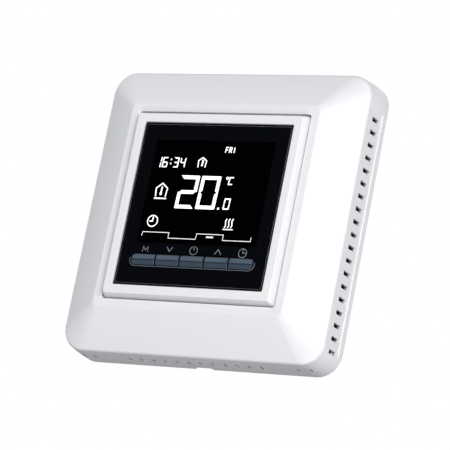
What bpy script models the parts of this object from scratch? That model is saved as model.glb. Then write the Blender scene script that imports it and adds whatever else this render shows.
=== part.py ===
"""Flush-mounted wall thermostat, built as the separate pieces it comes apart into.

Frame: metres, +Z up, front towards -Y. The origin is the centre of the wall plane, so everything
in front of the wall has negative y and everything inside the wall box has positive y.
Bodies: the fixed base, the pull-off surround, the pull-off display module, five keys and the five
switch plungers behind them.
Every depth is measured from the front of the bezel, unless its comment says otherwise.
"""
import math

import bmesh
import bpy
from mathutils import Vector

MM = 0.001

# ---------------------------------------------------------------- overall sizes
WIDTH = 85.0 * MM                # square outline at the wall
PROTRUSION = 18.6 * MM           # wall to the front of the bezel
CLEARANCE = 0.3 * MM             # gap kept between neighbouring pieces

# ---------------------------------------------------------------- surround
EDGE_DEPTH = 8.05 * MM           # depth of the edge between slope and side wall
EDGE_ROUND = 0.9 * MM
SIDE_DRAFT = 0.54 * MM           # how far each side wall flares towards the wall
SURROUND_WALL = 1.6 * MM
SLOPE_WALL = 1.8 * MM            # thickness of the slope, along Y
CORNER_RADIUS = 6.8 * MM
SLOPE_CROWN = 0.15 * MM          # bulge of the slope at its middle
RIM_WIDTH = 2.525 * MM           # flat ring round the bezel
RIM_DEPTH = 1.95 * MM
RIM_RADIUS = 1.8 * MM
RIM_ROUND = 0.6 * MM             # width of the rounding between ring and slope
COLLAR_DEPTH = 10.0 * MM         # back of the collar that guides the display module
COLLAR_WALL = 1.4 * MM
COLLAR_ROUND = 0.2 * MM

PANEL_TOP_MARGIN = 9.2 * MM      # sunk vent panels: from the top and the bottom of the outline
PANEL_BOTTOM_MARGIN = 1.5 * MM
LEDGE_STAND = 2.2 * MM           # ledge behind each panel, from the wall
SIDE_VENT_MARGIN = 2.9 * MM      # top of the panel to the middle of the first vent
SIDE_VENT_END_MARGIN = 4.2 * MM  # least room below the last one
SIDE_VENT_PITCH = 3.73 * MM
SIDE_VENT_HEIGHT = 1.25 * MM
SIDE_VENT_LENGTH = 4.0 * MM
SIDE_VENT_GAP = 1.2 * MM         # vent to ledge
SLOT_PITCH = 3.87 * MM           # slots in the lower and upper walls
SLOT_WIDTH = 0.8 * MM
SLOT_LENGTH = 2.9 * MM
SLOT_STAND = 5.2 * MM            # middle of the slots, from the wall
SLOT_END_MARGIN = 5.5 * MM       # side of the outline to the middle of the last slot, at least
SOLID_STATIONS = (6, 7)          # slots left out to each side, for the clip tongues
NOTCH_WIDTH = 4.2 * MM           # release notch in the lower back edge
NOTCH_HEIGHT = 0.75 * MM
NOTCH_LENGTH = 1.6 * MM
NOTCH_X = -0.5 * MM
NOTCH_RAMP = 1.5 * MM
TONGUE_WIDTH = 5.0 * MM
TONGUE_THICKNESS = 1.2 * MM
TONGUE_GAP = 1.3 * MM            # tongue to the foot of the wall
TONGUE_SINK = 0.2 * MM           # how far a tongue runs into the slope, past the edge

# ---------------------------------------------------------------- display module
BEZEL_FOOT = 55.35 * MM          # 55 mm switch format
BEZEL_TAPER = 0.925 * MM         # how far each side of the bezel leans in
BEZEL_FACE = 2.5 * MM            # width of the bezel's front face
FOOT_DEPTH = 2.9 * MM
BEZEL_RADIUS = 0.9 * MM
BEZEL_ROUND = 0.25 * MM
SKIRT_WALL = 1.4 * MM
MODULE_GAP = 0.4 * MM            # module to the flange of the housing behind it
LENS_RADIUS = 0.5 * MM
LENS_RECESS = 0.45 * MM
LENS_THICKNESS = 1.75 * MM
LENS_FLANGE = 1.0 * MM
LENS_FLANGE_OVERLAP = 0.95 * MM
LENS_CHAMFER = 0.2 * MM
LIP_DEPTH = 0.9 * MM
MODULE_SLOTS = 7                 # air slots in the skirt and the cover
MODULE_SLOT_SIZE = (1.2 * MM, 3.0 * MM)
MODULE_SLOT_PITCH = 3.0 * MM
MODULE_SLOT_GAP = 0.1 * MM       # slot to the rear cover
COVER_SLOT_RISE = 2.275 * MM     # lower end of the cover's slots, from the skirt
COVER_SLOT_LENGTH = 6.0 * MM

KEY_COUNT = 5
KEY_ROW_MARGIN = 4.35 * MM       # end of the row to the side of the window
KEY_ROW_RISE = 7.65 * MM         # middle of the row above the window's lower edge
KEY_END_EXTRA = 0.225 * MM       # how much longer the two end keys are
KEY_HEIGHT = 3.25 * MM
KEY_CREST = 0.35 * MM            # height of the ridge along the middle of the keys
KEY_FLANGE = 0.55 * MM           # how far the flange behind the lens reaches past the key
KEY_FLANGE_THICKNESS = 0.7 * MM
KEY_STEM_RADIUS = 1.1 * MM
KEY_TRAVEL = 0.4 * MM

SWITCH_SIZE = (4.4 * MM, 3.4 * MM)
SWITCH_HEIGHT = 2.0 * MM
SWITCH_RADIUS = 0.4 * MM
PLUNGER_RADIUS = 0.85 * MM
PLUNGER_STAND = 0.5 * MM         # how far the plunger stands out of its switch
PLUNGER_LENGTH = 1.5 * MM
PLUNGER_SPARE = 0.2 * MM         # room behind the pressed plunger

LCD_SIDE_ROOM = 4.775 * MM       # LCD to the skirt, at the sides and above
LCD_TOP_ROOM = 5.275 * MM
LCD_KEY_ROOM = 0.325 * MM        # LCD holder to the flanges of the keys
LCD_THICKNESS = 1.8 * MM
HOLDER_WALL = 1.0 * MM
HOLDER_RADIUS = 1.0 * MM
STRIP_HEIGHT = 2.0 * MM
STRIP_END = 1.0 * MM             # how much shorter than the LCD the strip is, at each end
GUIDE_THICKNESS = 2.0 * MM
GUIDE_RADIUS = 0.8 * MM
BOARD_THICKNESS = 1.2 * MM
BOARD_MARGIN = 0.875 * MM        # board to the skirt
BOARD_RADIUS = 1.5 * MM
BOARD_ROOM = 4.1 * MM            # for the parts between the board and the rear cover
COVER_THICKNESS = 1.4 * MM
POST_RADIUS = 1.5 * MM
POST_INSET = 4.275 * MM          # middle of a cover post to the skirt
POST_ROOT = 0.9 * MM             # how far a post runs into the cover

CONTROLLER = (10.0 * MM, 1.2 * MM)           # side, thickness
CONTROLLER_AT = (-8.0 * MM, 5.0 * MM)
CONTROLLER_RADIUS = 0.3 * MM
CELL = (5.9 * MM, 3.1 * MM, 0.6 * MM)        # radius, height, rounded edge
CELL_AT = (11.0 * MM, 8.0 * MM)
CRYSTAL = (1.0 * MM, 2.4 * MM)               # radius, height
CRYSTAL_AT = (-17.0 * MM, 9.0 * MM)
BEAD = (1.2 * MM, 2.8 * MM, 0.6 * MM)        # radius, height, rounded ends

PIN_COUNT = 6
PIN_PITCH = 2.54 * MM
PIN_SIZE = 0.64 * MM
PIN_BORE = 1.3 * MM
PIN_ENGAGEMENT = 3.6 * MM        # how far the pins reach into the socket
PIN_SPARE = 0.5 * MM             # room behind the tips of the pins
PIN_ROOT = 1.0 * MM
CONNECTOR_RISE = 2.5 * MM        # middle of the connector above the power board's lower edge
CONNECTOR_END = 0.78 * MM        # plastic beyond the outer pins' places
HEADER_HEIGHT = 2.6 * MM
HEADER_THICKNESS = 2.5 * MM
SOCKET_HEIGHT = 3.2 * MM

# ---------------------------------------------------------------- base, in and on the wall box
PLATE_THICKNESS = 1.2 * MM
PLATE_RADIUS = 5.0 * MM
PLATE_TONGUE_GAP = 1.4 * MM      # plate to the clip tongues, above and below it
PLATE_SIDE_GAP = 0.6 * MM        # plate to the side walls of the surround
SCREW_SPACING = 60.0 * MM        # standard spacing of flush wall boxes
SCREW_SLOT_WIDTH = 4.0 * MM
SCREW_SLOT_LENGTH = 9.0 * MM
WALL_SCREW = (3.0 * MM, 1.8 * MM, 1.6 * MM, 18.0 * MM)       # head radius and height, shank radius and length
EAR_SCREW = (2.3 * MM, 1.5 * MM, 1.25 * MM, 6.0 * MM)
BOARD_SCREW = (2.2 * MM, 1.4 * MM, 1.0 * MM, 8.0 * MM)

HOUSING_RADIUS = 8.0 * MM
HOUSING_WALL = 1.6 * MM
HOUSING_CHAMFER = 1.0 * MM
HOUSING_FLANGE = 1.4 * MM        # how far the flange reaches past the housing
HOUSING_FLANGE_THICKNESS = 1.7 * MM
PLATE_FIT = 0.4 * MM             # gap between the housing and its hole in the plate
EAR_SCREW_GAP = 1.025 * MM       # screw head to the display module and to the flange
EAR_END = 3.5 * MM               # screw to the end of its ear
EAR_Z = 14.0 * MM
EAR_HEIGHT = 7.0 * MM
EAR_ROOT = 1.0 * MM              # how far an ear runs into the flange
LID_THICKNESS = 1.4 * MM
LID_SINK = 0.2 * MM
LID_VENTS = 7
LID_VENT_PITCH = 4.0 * MM
LID_VENT_SIZE = (1.4 * MM, 12.0 * MM)
LID_VENT_MARGIN = 5.7 * MM       # upper end of the vents to the inside of the housing

POWER_BOARD_FRONT = 3.5 * MM     # from the wall plane
POWER_BOARD_THICKNESS = 1.6 * MM
POWER_BOARD_MARGIN = 0.5 * MM
POWER_BOARD_RADIUS = 1.0 * MM
BOSS_INSET = (5.2 * MM, 4.7 * MM)            # middle of a boss from the inside of the housing
BOSS_RADIUS = 2.4 * MM
BOSS_ROOT = 0.5 * MM

TERMINAL_COUNT = 6
TERMINAL_PITCH = 5.9 * MM
TERMINAL_END = 0.3 * MM
TERMINAL_HEIGHT = 10.6 * MM
TERMINAL_DEPTH = 14.3 * MM
TERMINAL_RADII = (2.5 * MM, 2.5 * MM, 0.4 * MM, 0.4 * MM)
TERMINAL_WELL = 2.05 * MM
TERMINAL_SCREW = (1.7 * MM, 5.6 * MM)        # radius, length
TERMINAL_SCREW_SINK = 0.6 * MM
TERMINAL_SLOT = (0.5 * MM, 0.7 * MM)         # width and depth of the driver slot
WIRE_HOLE = (3.6 * MM, 4.2 * MM)
WIRE_HOLE_SINK = 9.9 * MM        # front of the block to the middle of the wire holes
WELL_OVERLAP = 0.2 * MM          # well into wire hole

RELAY = (10.4 * MM, 18.5 * MM, 15.2 * MM)    # width, height, depth
RELAY_SIDE_ROOM = 2.7 * MM       # relay to the housing
RELAY_RISE = 4.5 * MM            # above the power board's lower edge
RELAY_REAR_ROOM = 1.8 * MM       # relay to the back of the housing, which is as deep as it needs
RELAY_RADIUS = 0.5 * MM
CONVERTER_DEPTH = 14.0 * MM
CONVERTER_RISE = 3.5 * MM
CONVERTER_GAPS = (2.2 * MM, 2.5 * MM, 4.5 * MM)      # to the relay, the film capacitor and the varistor
CONVERTER_RADIUS = 0.8 * MM
FILM = (6.0 * MM, 12.0 * MM)     # width, depth
FILM_GAPS = (1.8 * MM, 1.6 * MM) # to the fuse and to the smoothing capacitor
FILM_RADIUS = 0.6 * MM
FUSE = (1.8 * MM, 13.0 * MM)     # radius, length
FUSE_SIDE_ROOM = 3.5 * MM        # its axis to the inside of the housing
FUSE_STAND = 2.6 * MM            # its axis from the board's parts plane
CAN = (4.0 * MM, 12.8 * MM, 0.4 * MM)        # radius, height, rounded edge
CAN_FROM_BOSS = (4.1 * MM, 9.4 * MM)
VARISTOR = (5.0 * MM, 3.4 * MM)  # radius, thickness
VARISTOR_X = -1.0 * MM
VARISTOR_STAND = 5.2 * MM
VARISTOR_TOP_ROOM = 8.2 * MM     # its lower face from the inside of the housing
ROD_SOFTENING = 0.3 * MM

# ---------------------------------------------------------------- worked-out planes and places
FRONT = -PROTRUSION
HALF = WIDTH / 2
EDGE_HALF = HALF - SIDE_DRAFT
OPENING_HALF = BEZEL_FOOT / 2 + CLEARANCE
RIM_HALF = OPENING_HALF + RIM_WIDTH
PANEL_TOP = HALF - PANEL_TOP_MARGIN
PANEL_BOTTOM = -HALF + PANEL_BOTTOM_MARGIN
SIDE_VENT_TOP = PANEL_TOP - SIDE_VENT_MARGIN
SIDE_VENT_COUNT = int((SIDE_VENT_TOP - PANEL_BOTTOM - SIDE_VENT_END_MARGIN) / SIDE_VENT_PITCH) + 1
SLOT_COUNT = int((HALF - SLOT_END_MARGIN) / SLOT_PITCH + 0.5)
TONGUE_X = (sum(SOLID_STATIONS) / len(SOLID_STATIONS) + 0.5) * SLOT_PITCH
TONGUE_Z = HALF - SURROUND_WALL - TONGUE_GAP - TONGUE_THICKNESS / 2

BEZEL_HALF = BEZEL_FOOT / 2 - BEZEL_TAPER
WINDOW_HALF = BEZEL_HALF - BEZEL_FACE
SKIRT_INNER = BEZEL_FOOT / 2 - SKIRT_WALL
LENS_FRONT = FRONT + LENS_RECESS
LENS_BACK = LENS_FRONT + LENS_THICKNESS
LCD_FRONT = LENS_BACK + CLEARANCE
KEY_ROW_LENGTH = 2 * (WINDOW_HALF - KEY_ROW_MARGIN)
KEY_PITCH = (KEY_ROW_LENGTH - 2 * KEY_END_EXTRA) / KEY_COUNT
KEY_Z = -WINDOW_HALF + KEY_ROW_RISE
FLANGE_HALF = KEY_HEIGHT / 2 + KEY_FLANGE
LCD_HALF = SKIRT_INNER - LCD_SIDE_ROOM
LCD_LOW = KEY_Z + FLANGE_HALF + LCD_KEY_ROOM + HOLDER_WALL + CLEARANCE
LCD_HIGH = SKIRT_INNER - LCD_TOP_ROOM

PLATE_FRONT = -PLATE_THICKNESS
PLATE_HALF_X = HALF - SURROUND_WALL - PLATE_SIDE_GAP
PLATE_HALF_Z = TONGUE_Z - TONGUE_THICKNESS / 2 - PLATE_TONGUE_GAP
FLANGE_BACK = PLATE_FRONT - CLEARANCE
FLANGE_FRONT = FLANGE_BACK - HOUSING_FLANGE_THICKNESS
MODULE_BACK = FLANGE_FRONT - MODULE_GAP
COVER_FRONT = MODULE_BACK - COVER_THICKNESS
BOARD_BACK = COVER_FRONT - BOARD_ROOM
BOARD_FRONT = BOARD_BACK - BOARD_THICKNESS
POST_AT = SKIRT_INNER - POST_INSET

HOUSING_HALF = SCREW_SPACING / 2 - WALL_SCREW[0] - CLEARANCE - HOUSING_FLANGE
EAR_SCREW_X = max(BEZEL_FOOT / 2, HOUSING_HALF + HOUSING_FLANGE) + EAR_SCREW_GAP + EAR_SCREW[0]
EAR_REACH = EAR_SCREW_X + EAR_END
CAVITY_HALF = HOUSING_HALF - HOUSING_WALL
CAVITY_RADIUS = HOUSING_RADIUS - HOUSING_WALL
POWER_BOARD_BACK = POWER_BOARD_FRONT + POWER_BOARD_THICKNESS
PARTS_FRONT = POWER_BOARD_BACK + CLEARANCE
CAVITY_BACK = PARTS_FRONT + RELAY[2] + RELAY_REAR_ROOM
HOUSING_BACK = CAVITY_BACK + HOUSING_WALL
LID_FRONT = FLANGE_FRONT + LID_SINK
LID_BACK = LID_FRONT + LID_THICKNESS
PIN_END = LID_FRONT + PIN_ENGAGEMENT
TERMINAL_LOW = -CAVITY_HALF + CLEARANCE
TERMINAL_TOP = TERMINAL_LOW + TERMINAL_HEIGHT
TERMINAL_MIDDLE = (TERMINAL_LOW + TERMINAL_TOP) / 2
TERMINAL_FRONT = LID_BACK + CLEARANCE
WIRE_HOLE_Y = TERMINAL_FRONT + WIRE_HOLE_SINK
POWER_BOARD_BOTTOM = TERMINAL_TOP + CLEARANCE
CONNECTOR_Z = POWER_BOARD_BOTTOM + CONNECTOR_RISE
CONNECTOR_HALF = PIN_COUNT * PIN_PITCH / 2 + CONNECTOR_END
BOSS_AT = (CAVITY_HALF - BOSS_INSET[0], CAVITY_HALF - BOSS_INSET[1])

FINE_ARC = 7                     # facets in a quarter circle on large, middling and small corners
MEDIUM_ARC = 5
SMALL_ARC = 3
THROUGH = 1.0 * MM               # how far a cutter runs past the face it leaves by


# ---------------------------------------------------------------- scene and materials
def clear_scene():
    for obj in list(bpy.data.objects):
        bpy.data.objects.remove(obj, do_unlink=True)


def material(name, colour, roughness, metallic=0.0):
    mat = bpy.data.materials.new(name)
    mat.use_nodes = True
    shader = mat.node_tree.nodes["Principled BSDF"]
    shader.inputs["Base Color"].default_value = (*colour, 1.0)
    shader.inputs["Roughness"].default_value = roughness
    shader.inputs["Metallic"].default_value = metallic
    return mat


# ---------------------------------------------------------------- outlines, as lists of (x, z)
def outline(x0, x1, z0, z1, radii, steps=SMALL_ARC):
    """Rounded rectangle, from its lower left corner round; radii is one value or four."""
    if not isinstance(radii, tuple):
        radii = (radii,) * 4
    points = []
    corners = ((x0, z0, 180), (x1, z0, 270), (x1, z1, 0), (x0, z1, 90))
    for (x, z, start), radius in zip(corners, radii):
        centre_x = x + radius if x == x0 else x - radius
        centre_z = z + radius if z == z0 else z - radius
        for step in range(steps + 1):
            angle = math.radians(start + 90 * step / steps)
            points.append((centre_x + radius * math.cos(angle), centre_z + radius * math.sin(angle)))
    return points


def square(half, radius, steps=SMALL_ARC):
    return outline(-half, half, -half, half, radius, steps)


def stadium(x, z, length_x, length_z, steps=SMALL_ARC):
    """Slot outline with round ends, along its longer side."""
    end = min(length_x, length_z) / 2 * 0.999
    return outline(x - length_x / 2, x + length_x / 2, z - length_z / 2, z + length_z / 2, end, steps)


def circle(x, z, radius, sides=24):
    return [(x + radius * math.cos(math.tau * k / sides), z + radius * math.sin(math.tau * k / sides))
            for k in range(sides)]


def rectangle(x0, x1, z0, z1):
    return [(x0, z0), (x1, z0), (x1, z1), (x0, z1)]


# ---------------------------------------------------------------- solids
class Shape:
    """Collects closed shapes in one bmesh."""

    def __init__(self):
        self.bm = bmesh.new()

    def loft(self, sections, closed=False):
        """Skin outlines of equal length, each with its y; closed joins the last to the first."""
        rings = [[self.bm.verts.new((x, y, z)) for x, z in points] for points, y in sections]
        pairs = list(zip(rings, rings[1:]))
        if closed:
            pairs.append((rings[-1], rings[0]))
        count = len(rings[0])
        for first, second in pairs:
            for k in range(count):
                n = (k + 1) % count
                self.bm.faces.new((first[k], first[n], second[n], second[k]))
        if not closed:
            self.bm.faces.new(rings[0])
            self.bm.faces.new(list(reversed(rings[-1])))
        return self

    def prism(self, points, y0, y1):
        return self.loft([(points, y0), (points, y1)])

    def box(self, x0, x1, y0, y1, z0, z1):
        return self.prism(rectangle(x0, x1, z0, z1), y0, y1)

    def turned(self, x, z, profile, sides=24):
        """Round solid along Y from (radius, y) pairs."""
        return self.loft([(circle(x, z, radius, sides), y) for radius, y in profile])

    def mesh(self, name, origin=(0, 0, 0)):
        bmesh.ops.recalc_face_normals(self.bm, faces=self.bm.faces)
        bmesh.ops.translate(self.bm, verts=self.bm.verts, vec=-Vector(origin))
        mesh = bpy.data.meshes.new(name)
        self.bm.to_mesh(mesh)
        self.bm.free()
        return mesh


def place(name, shape, mat, parent, origin=(0, 0, 0), smooth=False):
    """Make a named piece whose own origin is at the given point."""
    mesh = shape.mesh(name, origin)
    mesh.materials.append(mat)
    if smooth:
        mesh.shade_smooth()
        mesh.set_sharp_from_angle(angle=math.radians(35))
    piece = bpy.data.objects.new(name, mesh)
    piece.location = origin
    piece.parent = parent
    bpy.context.scene.collection.objects.link(piece)
    return piece


def helper(name, shape, piece, operation):
    """Cut a shape out of a piece, or join it on, with a Boolean modifier."""
    mesh = shape.mesh(name, piece.location)
    tool = bpy.data.objects.new(name, mesh)
    tool.location = piece.location
    tool.parent = piece.parent
    tool.hide_render = True
    tool.display_type = "WIRE"
    bpy.context.scene.collection.objects.link(tool)
    modifier = piece.modifiers.new(name, "BOOLEAN")
    modifier.operation = operation
    modifier.solver = "EXACT"
    modifier.object = tool


def cut(piece, name, shape):
    helper(f"{name}_cutter", shape, piece, "DIFFERENCE")


def join(piece, name, shape):
    helper(f"{name}_addition", shape, piece, "UNION")


def assembly(name):
    empty = bpy.data.objects.new(name, None)
    bpy.context.scene.collection.objects.link(empty)
    return empty


def evenly(count, pitch, middle=0.0):
    return [middle + (k - (count - 1) / 2) * pitch for k in range(count)]


def screw(name, x, z, size, head_back, mat, parent):
    """Domed screw along Y with a cross recess; size is head radius and height, shank radius and length."""
    head, height, shank, length = size
    head_front = head_back - height
    tip = head_back + length
    profile = [(head * 0.55, head_front), (head * 0.9, head_front + height * 0.3), (head, head_back),
               (shank, head_back), (shank, tip - shank * 0.6), (shank * 0.45, tip)]
    piece = place(name, Shape().turned(x, z, profile, 16), mat, parent, smooth=True)
    long, thin = head * 0.5, head * 0.12
    depth = head_front + height * 0.55
    cross = [(x - long, z - thin), (x - thin, z - thin), (x - thin, z - long), (x + thin, z - long),
             (x + thin, z - thin), (x + long, z - thin), (x + long, z + thin), (x + thin, z + thin),
             (x + thin, z + long), (x - thin, z + long), (x - thin, z + thin), (x - long, z + thin)]
    cut(piece, f"{name}_recess", Shape().prism(cross, head_front - height, depth))


# ---------------------------------------------------------------- surround
def slot_positions():
    """Middles of the wall slots, mirrored about the middle of the wall."""
    right = [(k + 0.5) * SLOT_PITCH for k in range(SLOT_COUNT) if k not in SOLID_STATIONS]
    return right + [-x for x in right]


def surround_sections():
    """Rounded squares round the surround's cross-section, from the collar's back and round again."""
    ring = FRONT + RIM_DEPTH
    edge = FRONT + EDGE_DEPTH
    slope = (EDGE_DEPTH - RIM_DEPTH) / (EDGE_HALF - RIM_HALF)
    collar_back = FRONT + COLLAR_DEPTH
    collar_half, collar_radius = OPENING_HALF + COLLAR_WALL, BEZEL_RADIUS + COLLAR_ROUND * 2
    sections = [(OPENING_HALF, collar_back, BEZEL_RADIUS),
                (OPENING_HALF, ring + COLLAR_ROUND, BEZEL_RADIUS),
                (OPENING_HALF + COLLAR_ROUND, ring, BEZEL_RADIUS),
                (RIM_HALF - RIM_ROUND, ring, RIM_RADIUS - RIM_ROUND * 0.5),
                (RIM_HALF - RIM_ROUND * 0.25, ring + RIM_ROUND * 0.083, RIM_RADIUS - RIM_ROUND * 0.17)]
    start, end = RIM_HALF + RIM_ROUND * 0.42, EDGE_HALF - EDGE_ROUND
    for k in range(5):
        t = k / 4
        half = start + (end - start) * t
        crown = SLOPE_CROWN * 4 * t * (1 - t)
        radius = RIM_RADIUS + (CORNER_RADIUS - RIM_RADIUS) * t
        sections.append((half, ring + (half - RIM_HALF) * slope - crown, radius))
    sections += [(EDGE_HALF - EDGE_ROUND * 0.35, edge - EDGE_ROUND * 0.02, CORNER_RADIUS),
                 (EDGE_HALF, edge + EDGE_ROUND * 0.65, CORNER_RADIUS),
                 (HALF, 0.0, CORNER_RADIUS),
                 (HALF - SURROUND_WALL, 0.0, CORNER_RADIUS - SURROUND_WALL),
                 (EDGE_HALF - SURROUND_WALL, edge + SLOPE_WALL, CORNER_RADIUS - SURROUND_WALL),
                 (RIM_HALF, ring + SLOPE_WALL, RIM_RADIUS),
                 (collar_half, ring + SLOPE_WALL, collar_radius),
                 (collar_half, collar_back, collar_radius)]
    return [(square(half, radius, FINE_ARC), y) for half, y, radius in sections]


def make_surround(mat):
    body = assembly("surround_pull_axis")
    frame = place("front_frame", Shape().loft(surround_sections(), closed=True), mat, body, smooth=True)

    tongues = Shape()
    for x in (-TONGUE_X, TONGUE_X):
        for z in (-TONGUE_Z, TONGUE_Z):
            tongues.box(x - TONGUE_WIDTH / 2, x + TONGUE_WIDTH / 2, FRONT + EDGE_DEPTH - TONGUE_SINK, -CLEARANCE,
                        z - TONGUE_THICKNESS / 2, z + TONGUE_THICKNESS / 2)
    join(frame, "clip_tongue", tongues)

    panels, vents = Shape(), Shape()
    reach = HALF + THROUGH
    wall_inside = HALF - SURROUND_WALL - SIDE_DRAFT - THROUGH
    vent_back = -LEDGE_STAND - SIDE_VENT_GAP
    for side in (-1, 1):
        x0, x1 = sorted((side * EDGE_HALF, side * reach))
        panels.box(x0, x1, FRONT, -LEDGE_STAND, PANEL_BOTTOM, PANEL_TOP)
        x0, x1 = sorted((side * wall_inside, side * reach))
        for k in range(SIDE_VENT_COUNT):
            z = SIDE_VENT_TOP - k * SIDE_VENT_PITCH
            vents.box(x0, x1, vent_back - SIDE_VENT_LENGTH, vent_back,
                      z - SIDE_VENT_HEIGHT / 2, z + SIDE_VENT_HEIGHT / 2)
    cut(frame, "vent_panel", panels)
    for level in (-1, 1):
        z0, z1 = sorted((level * wall_inside, level * reach))
        for x in slot_positions():
            vents.box(x - SLOT_WIDTH / 2, x + SLOT_WIDTH / 2, -SLOT_STAND - SLOT_LENGTH / 2,
                      -SLOT_STAND + SLOT_LENGTH / 2, z0, z1)
    cut(frame, "vent", vents)

    left, right = NOTCH_X - NOTCH_WIDTH / 2, NOTCH_X + NOTCH_WIDTH / 2
    profile = [(left, -reach), (right + NOTCH_RAMP + THROUGH, -reach), (right + NOTCH_RAMP, -HALF),
               (right, -HALF + NOTCH_HEIGHT), (left, -HALF + NOTCH_HEIGHT)]
    cut(frame, "release_notch", Shape().prism(profile, -NOTCH_LENGTH, THROUGH))


# ---------------------------------------------------------------- display module
def make_bezel(mat, body):
    foot_half = BEZEL_FOOT / 2
    pocket = WINDOW_HALF + LENS_FLANGE_OVERLAP + CLEARANCE
    lens_room = LENS_BACK + CLEARANCE
    sections = [(WINDOW_HALF, FRONT + BEZEL_ROUND * 0.6, LENS_RADIUS),
                (WINDOW_HALF + BEZEL_ROUND * 0.6, FRONT, LENS_RADIUS),
                (BEZEL_HALF - BEZEL_ROUND * 1.5, FRONT, BEZEL_RADIUS),
                (BEZEL_HALF - BEZEL_ROUND * 0.4, FRONT + BEZEL_ROUND * 0.3, BEZEL_RADIUS),
                (BEZEL_HALF + BEZEL_ROUND * 0.3, FRONT + BEZEL_ROUND * 1.2, BEZEL_RADIUS),
                (foot_half, FRONT + FOOT_DEPTH, BEZEL_RADIUS),
                (foot_half, MODULE_BACK, BEZEL_RADIUS),
                (SKIRT_INNER, MODULE_BACK, LENS_RADIUS),
                (SKIRT_INNER, lens_room, LENS_RADIUS),
                (pocket, lens_room, LENS_RADIUS),
                (pocket, FRONT + LIP_DEPTH, LENS_RADIUS),
                (WINDOW_HALF, FRONT + LIP_DEPTH, LENS_RADIUS)]
    rings = [(square(half, radius), y) for half, y, radius in sections]
    bezel = place("display_bezel", Shape().loft(rings, closed=True), mat, body, smooth=True)

    slots = Shape()
    width, length = MODULE_SLOT_SIZE
    back = COVER_FRONT - MODULE_SLOT_GAP
    for level in (-1, 1):
        z0, z1 = sorted((level * (SKIRT_INNER - THROUGH), level * (foot_half + THROUGH)))
        for x in evenly(MODULE_SLOTS, MODULE_SLOT_PITCH):
            slots.box(x - width / 2, x + width / 2, back - length, back, z0, z1)
    cut(bezel, "air_slot", slots)


def make_lens(mat, body):
    front_half = WINDOW_HALF - CLEARANCE
    flange_half = WINDOW_HALF + LENS_FLANGE_OVERLAP
    flange_front = LENS_BACK - LENS_FLANGE
    sections = [(front_half - LENS_CHAMFER, LENS_FRONT, LENS_RADIUS),
                (front_half, LENS_FRONT + LENS_CHAMFER, LENS_RADIUS),
                (front_half, flange_front, LENS_RADIUS),
                (flange_half, flange_front, LENS_RADIUS),
                (flange_half, LENS_BACK, LENS_RADIUS)]
    rings = [(square(half, radius), y) for half, y, radius in sections]
    lens = place("display_lens", Shape().loft(rings), mat, body)
    slot = stadium(0, KEY_Z, KEY_ROW_LENGTH + 2 * CLEARANCE, KEY_HEIGHT + 2 * CLEARANCE)
    cut(lens, "key_slot", Shape().prism(slot, FRONT - THROUGH, LENS_BACK + THROUGH))


def key_outline(x0, x1):
    """Outline of one key inside the round-ended row, with points at both ends of its ridge."""
    half, row_end = KEY_HEIGHT / 2, KEY_ROW_LENGTH / 2
    points = []
    for side, x in ((1, x1), (-1, x0)):
        if abs(side * row_end - x) < CLEARANCE / 10:
            centre = x - side * half
            steps = 8
            for k in range(steps + 1):
                angle = math.radians(-90 + 180 * k / steps)
                points.append((centre + side * half * math.cos(angle), side * half * math.sin(angle)))
        else:
            points += [(x, -side * half), (x, 0.0), (x, side * half)]
    return points


def key_solid(x0, x1, back):
    """Key cap with a ridged front; its z is measured from the middle of the row."""
    points = key_outline(x0, x1)
    half = KEY_HEIGHT / 2
    shape = Shape()
    bm = shape.bm
    front = [bm.verts.new((x, LENS_FRONT - KEY_CREST * (1 - abs(z) / half), KEY_Z + z)) for x, z in points]
    rear = [bm.verts.new((x, back, KEY_Z + z)) for x, z in points]
    count = len(points)
    for k in range(count):
        n = (k + 1) % count
        bm.faces.new((front[k], front[n], rear[n], rear[k]))
    bm.faces.new(rear)
    first, second = [k for k, (x, z) in enumerate(points) if abs(z) < CLEARANCE / 100]
    bm.faces.new(front[first:second + 1])
    bm.faces.new(front[second:] + front[:first + 1])
    return shape


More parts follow.
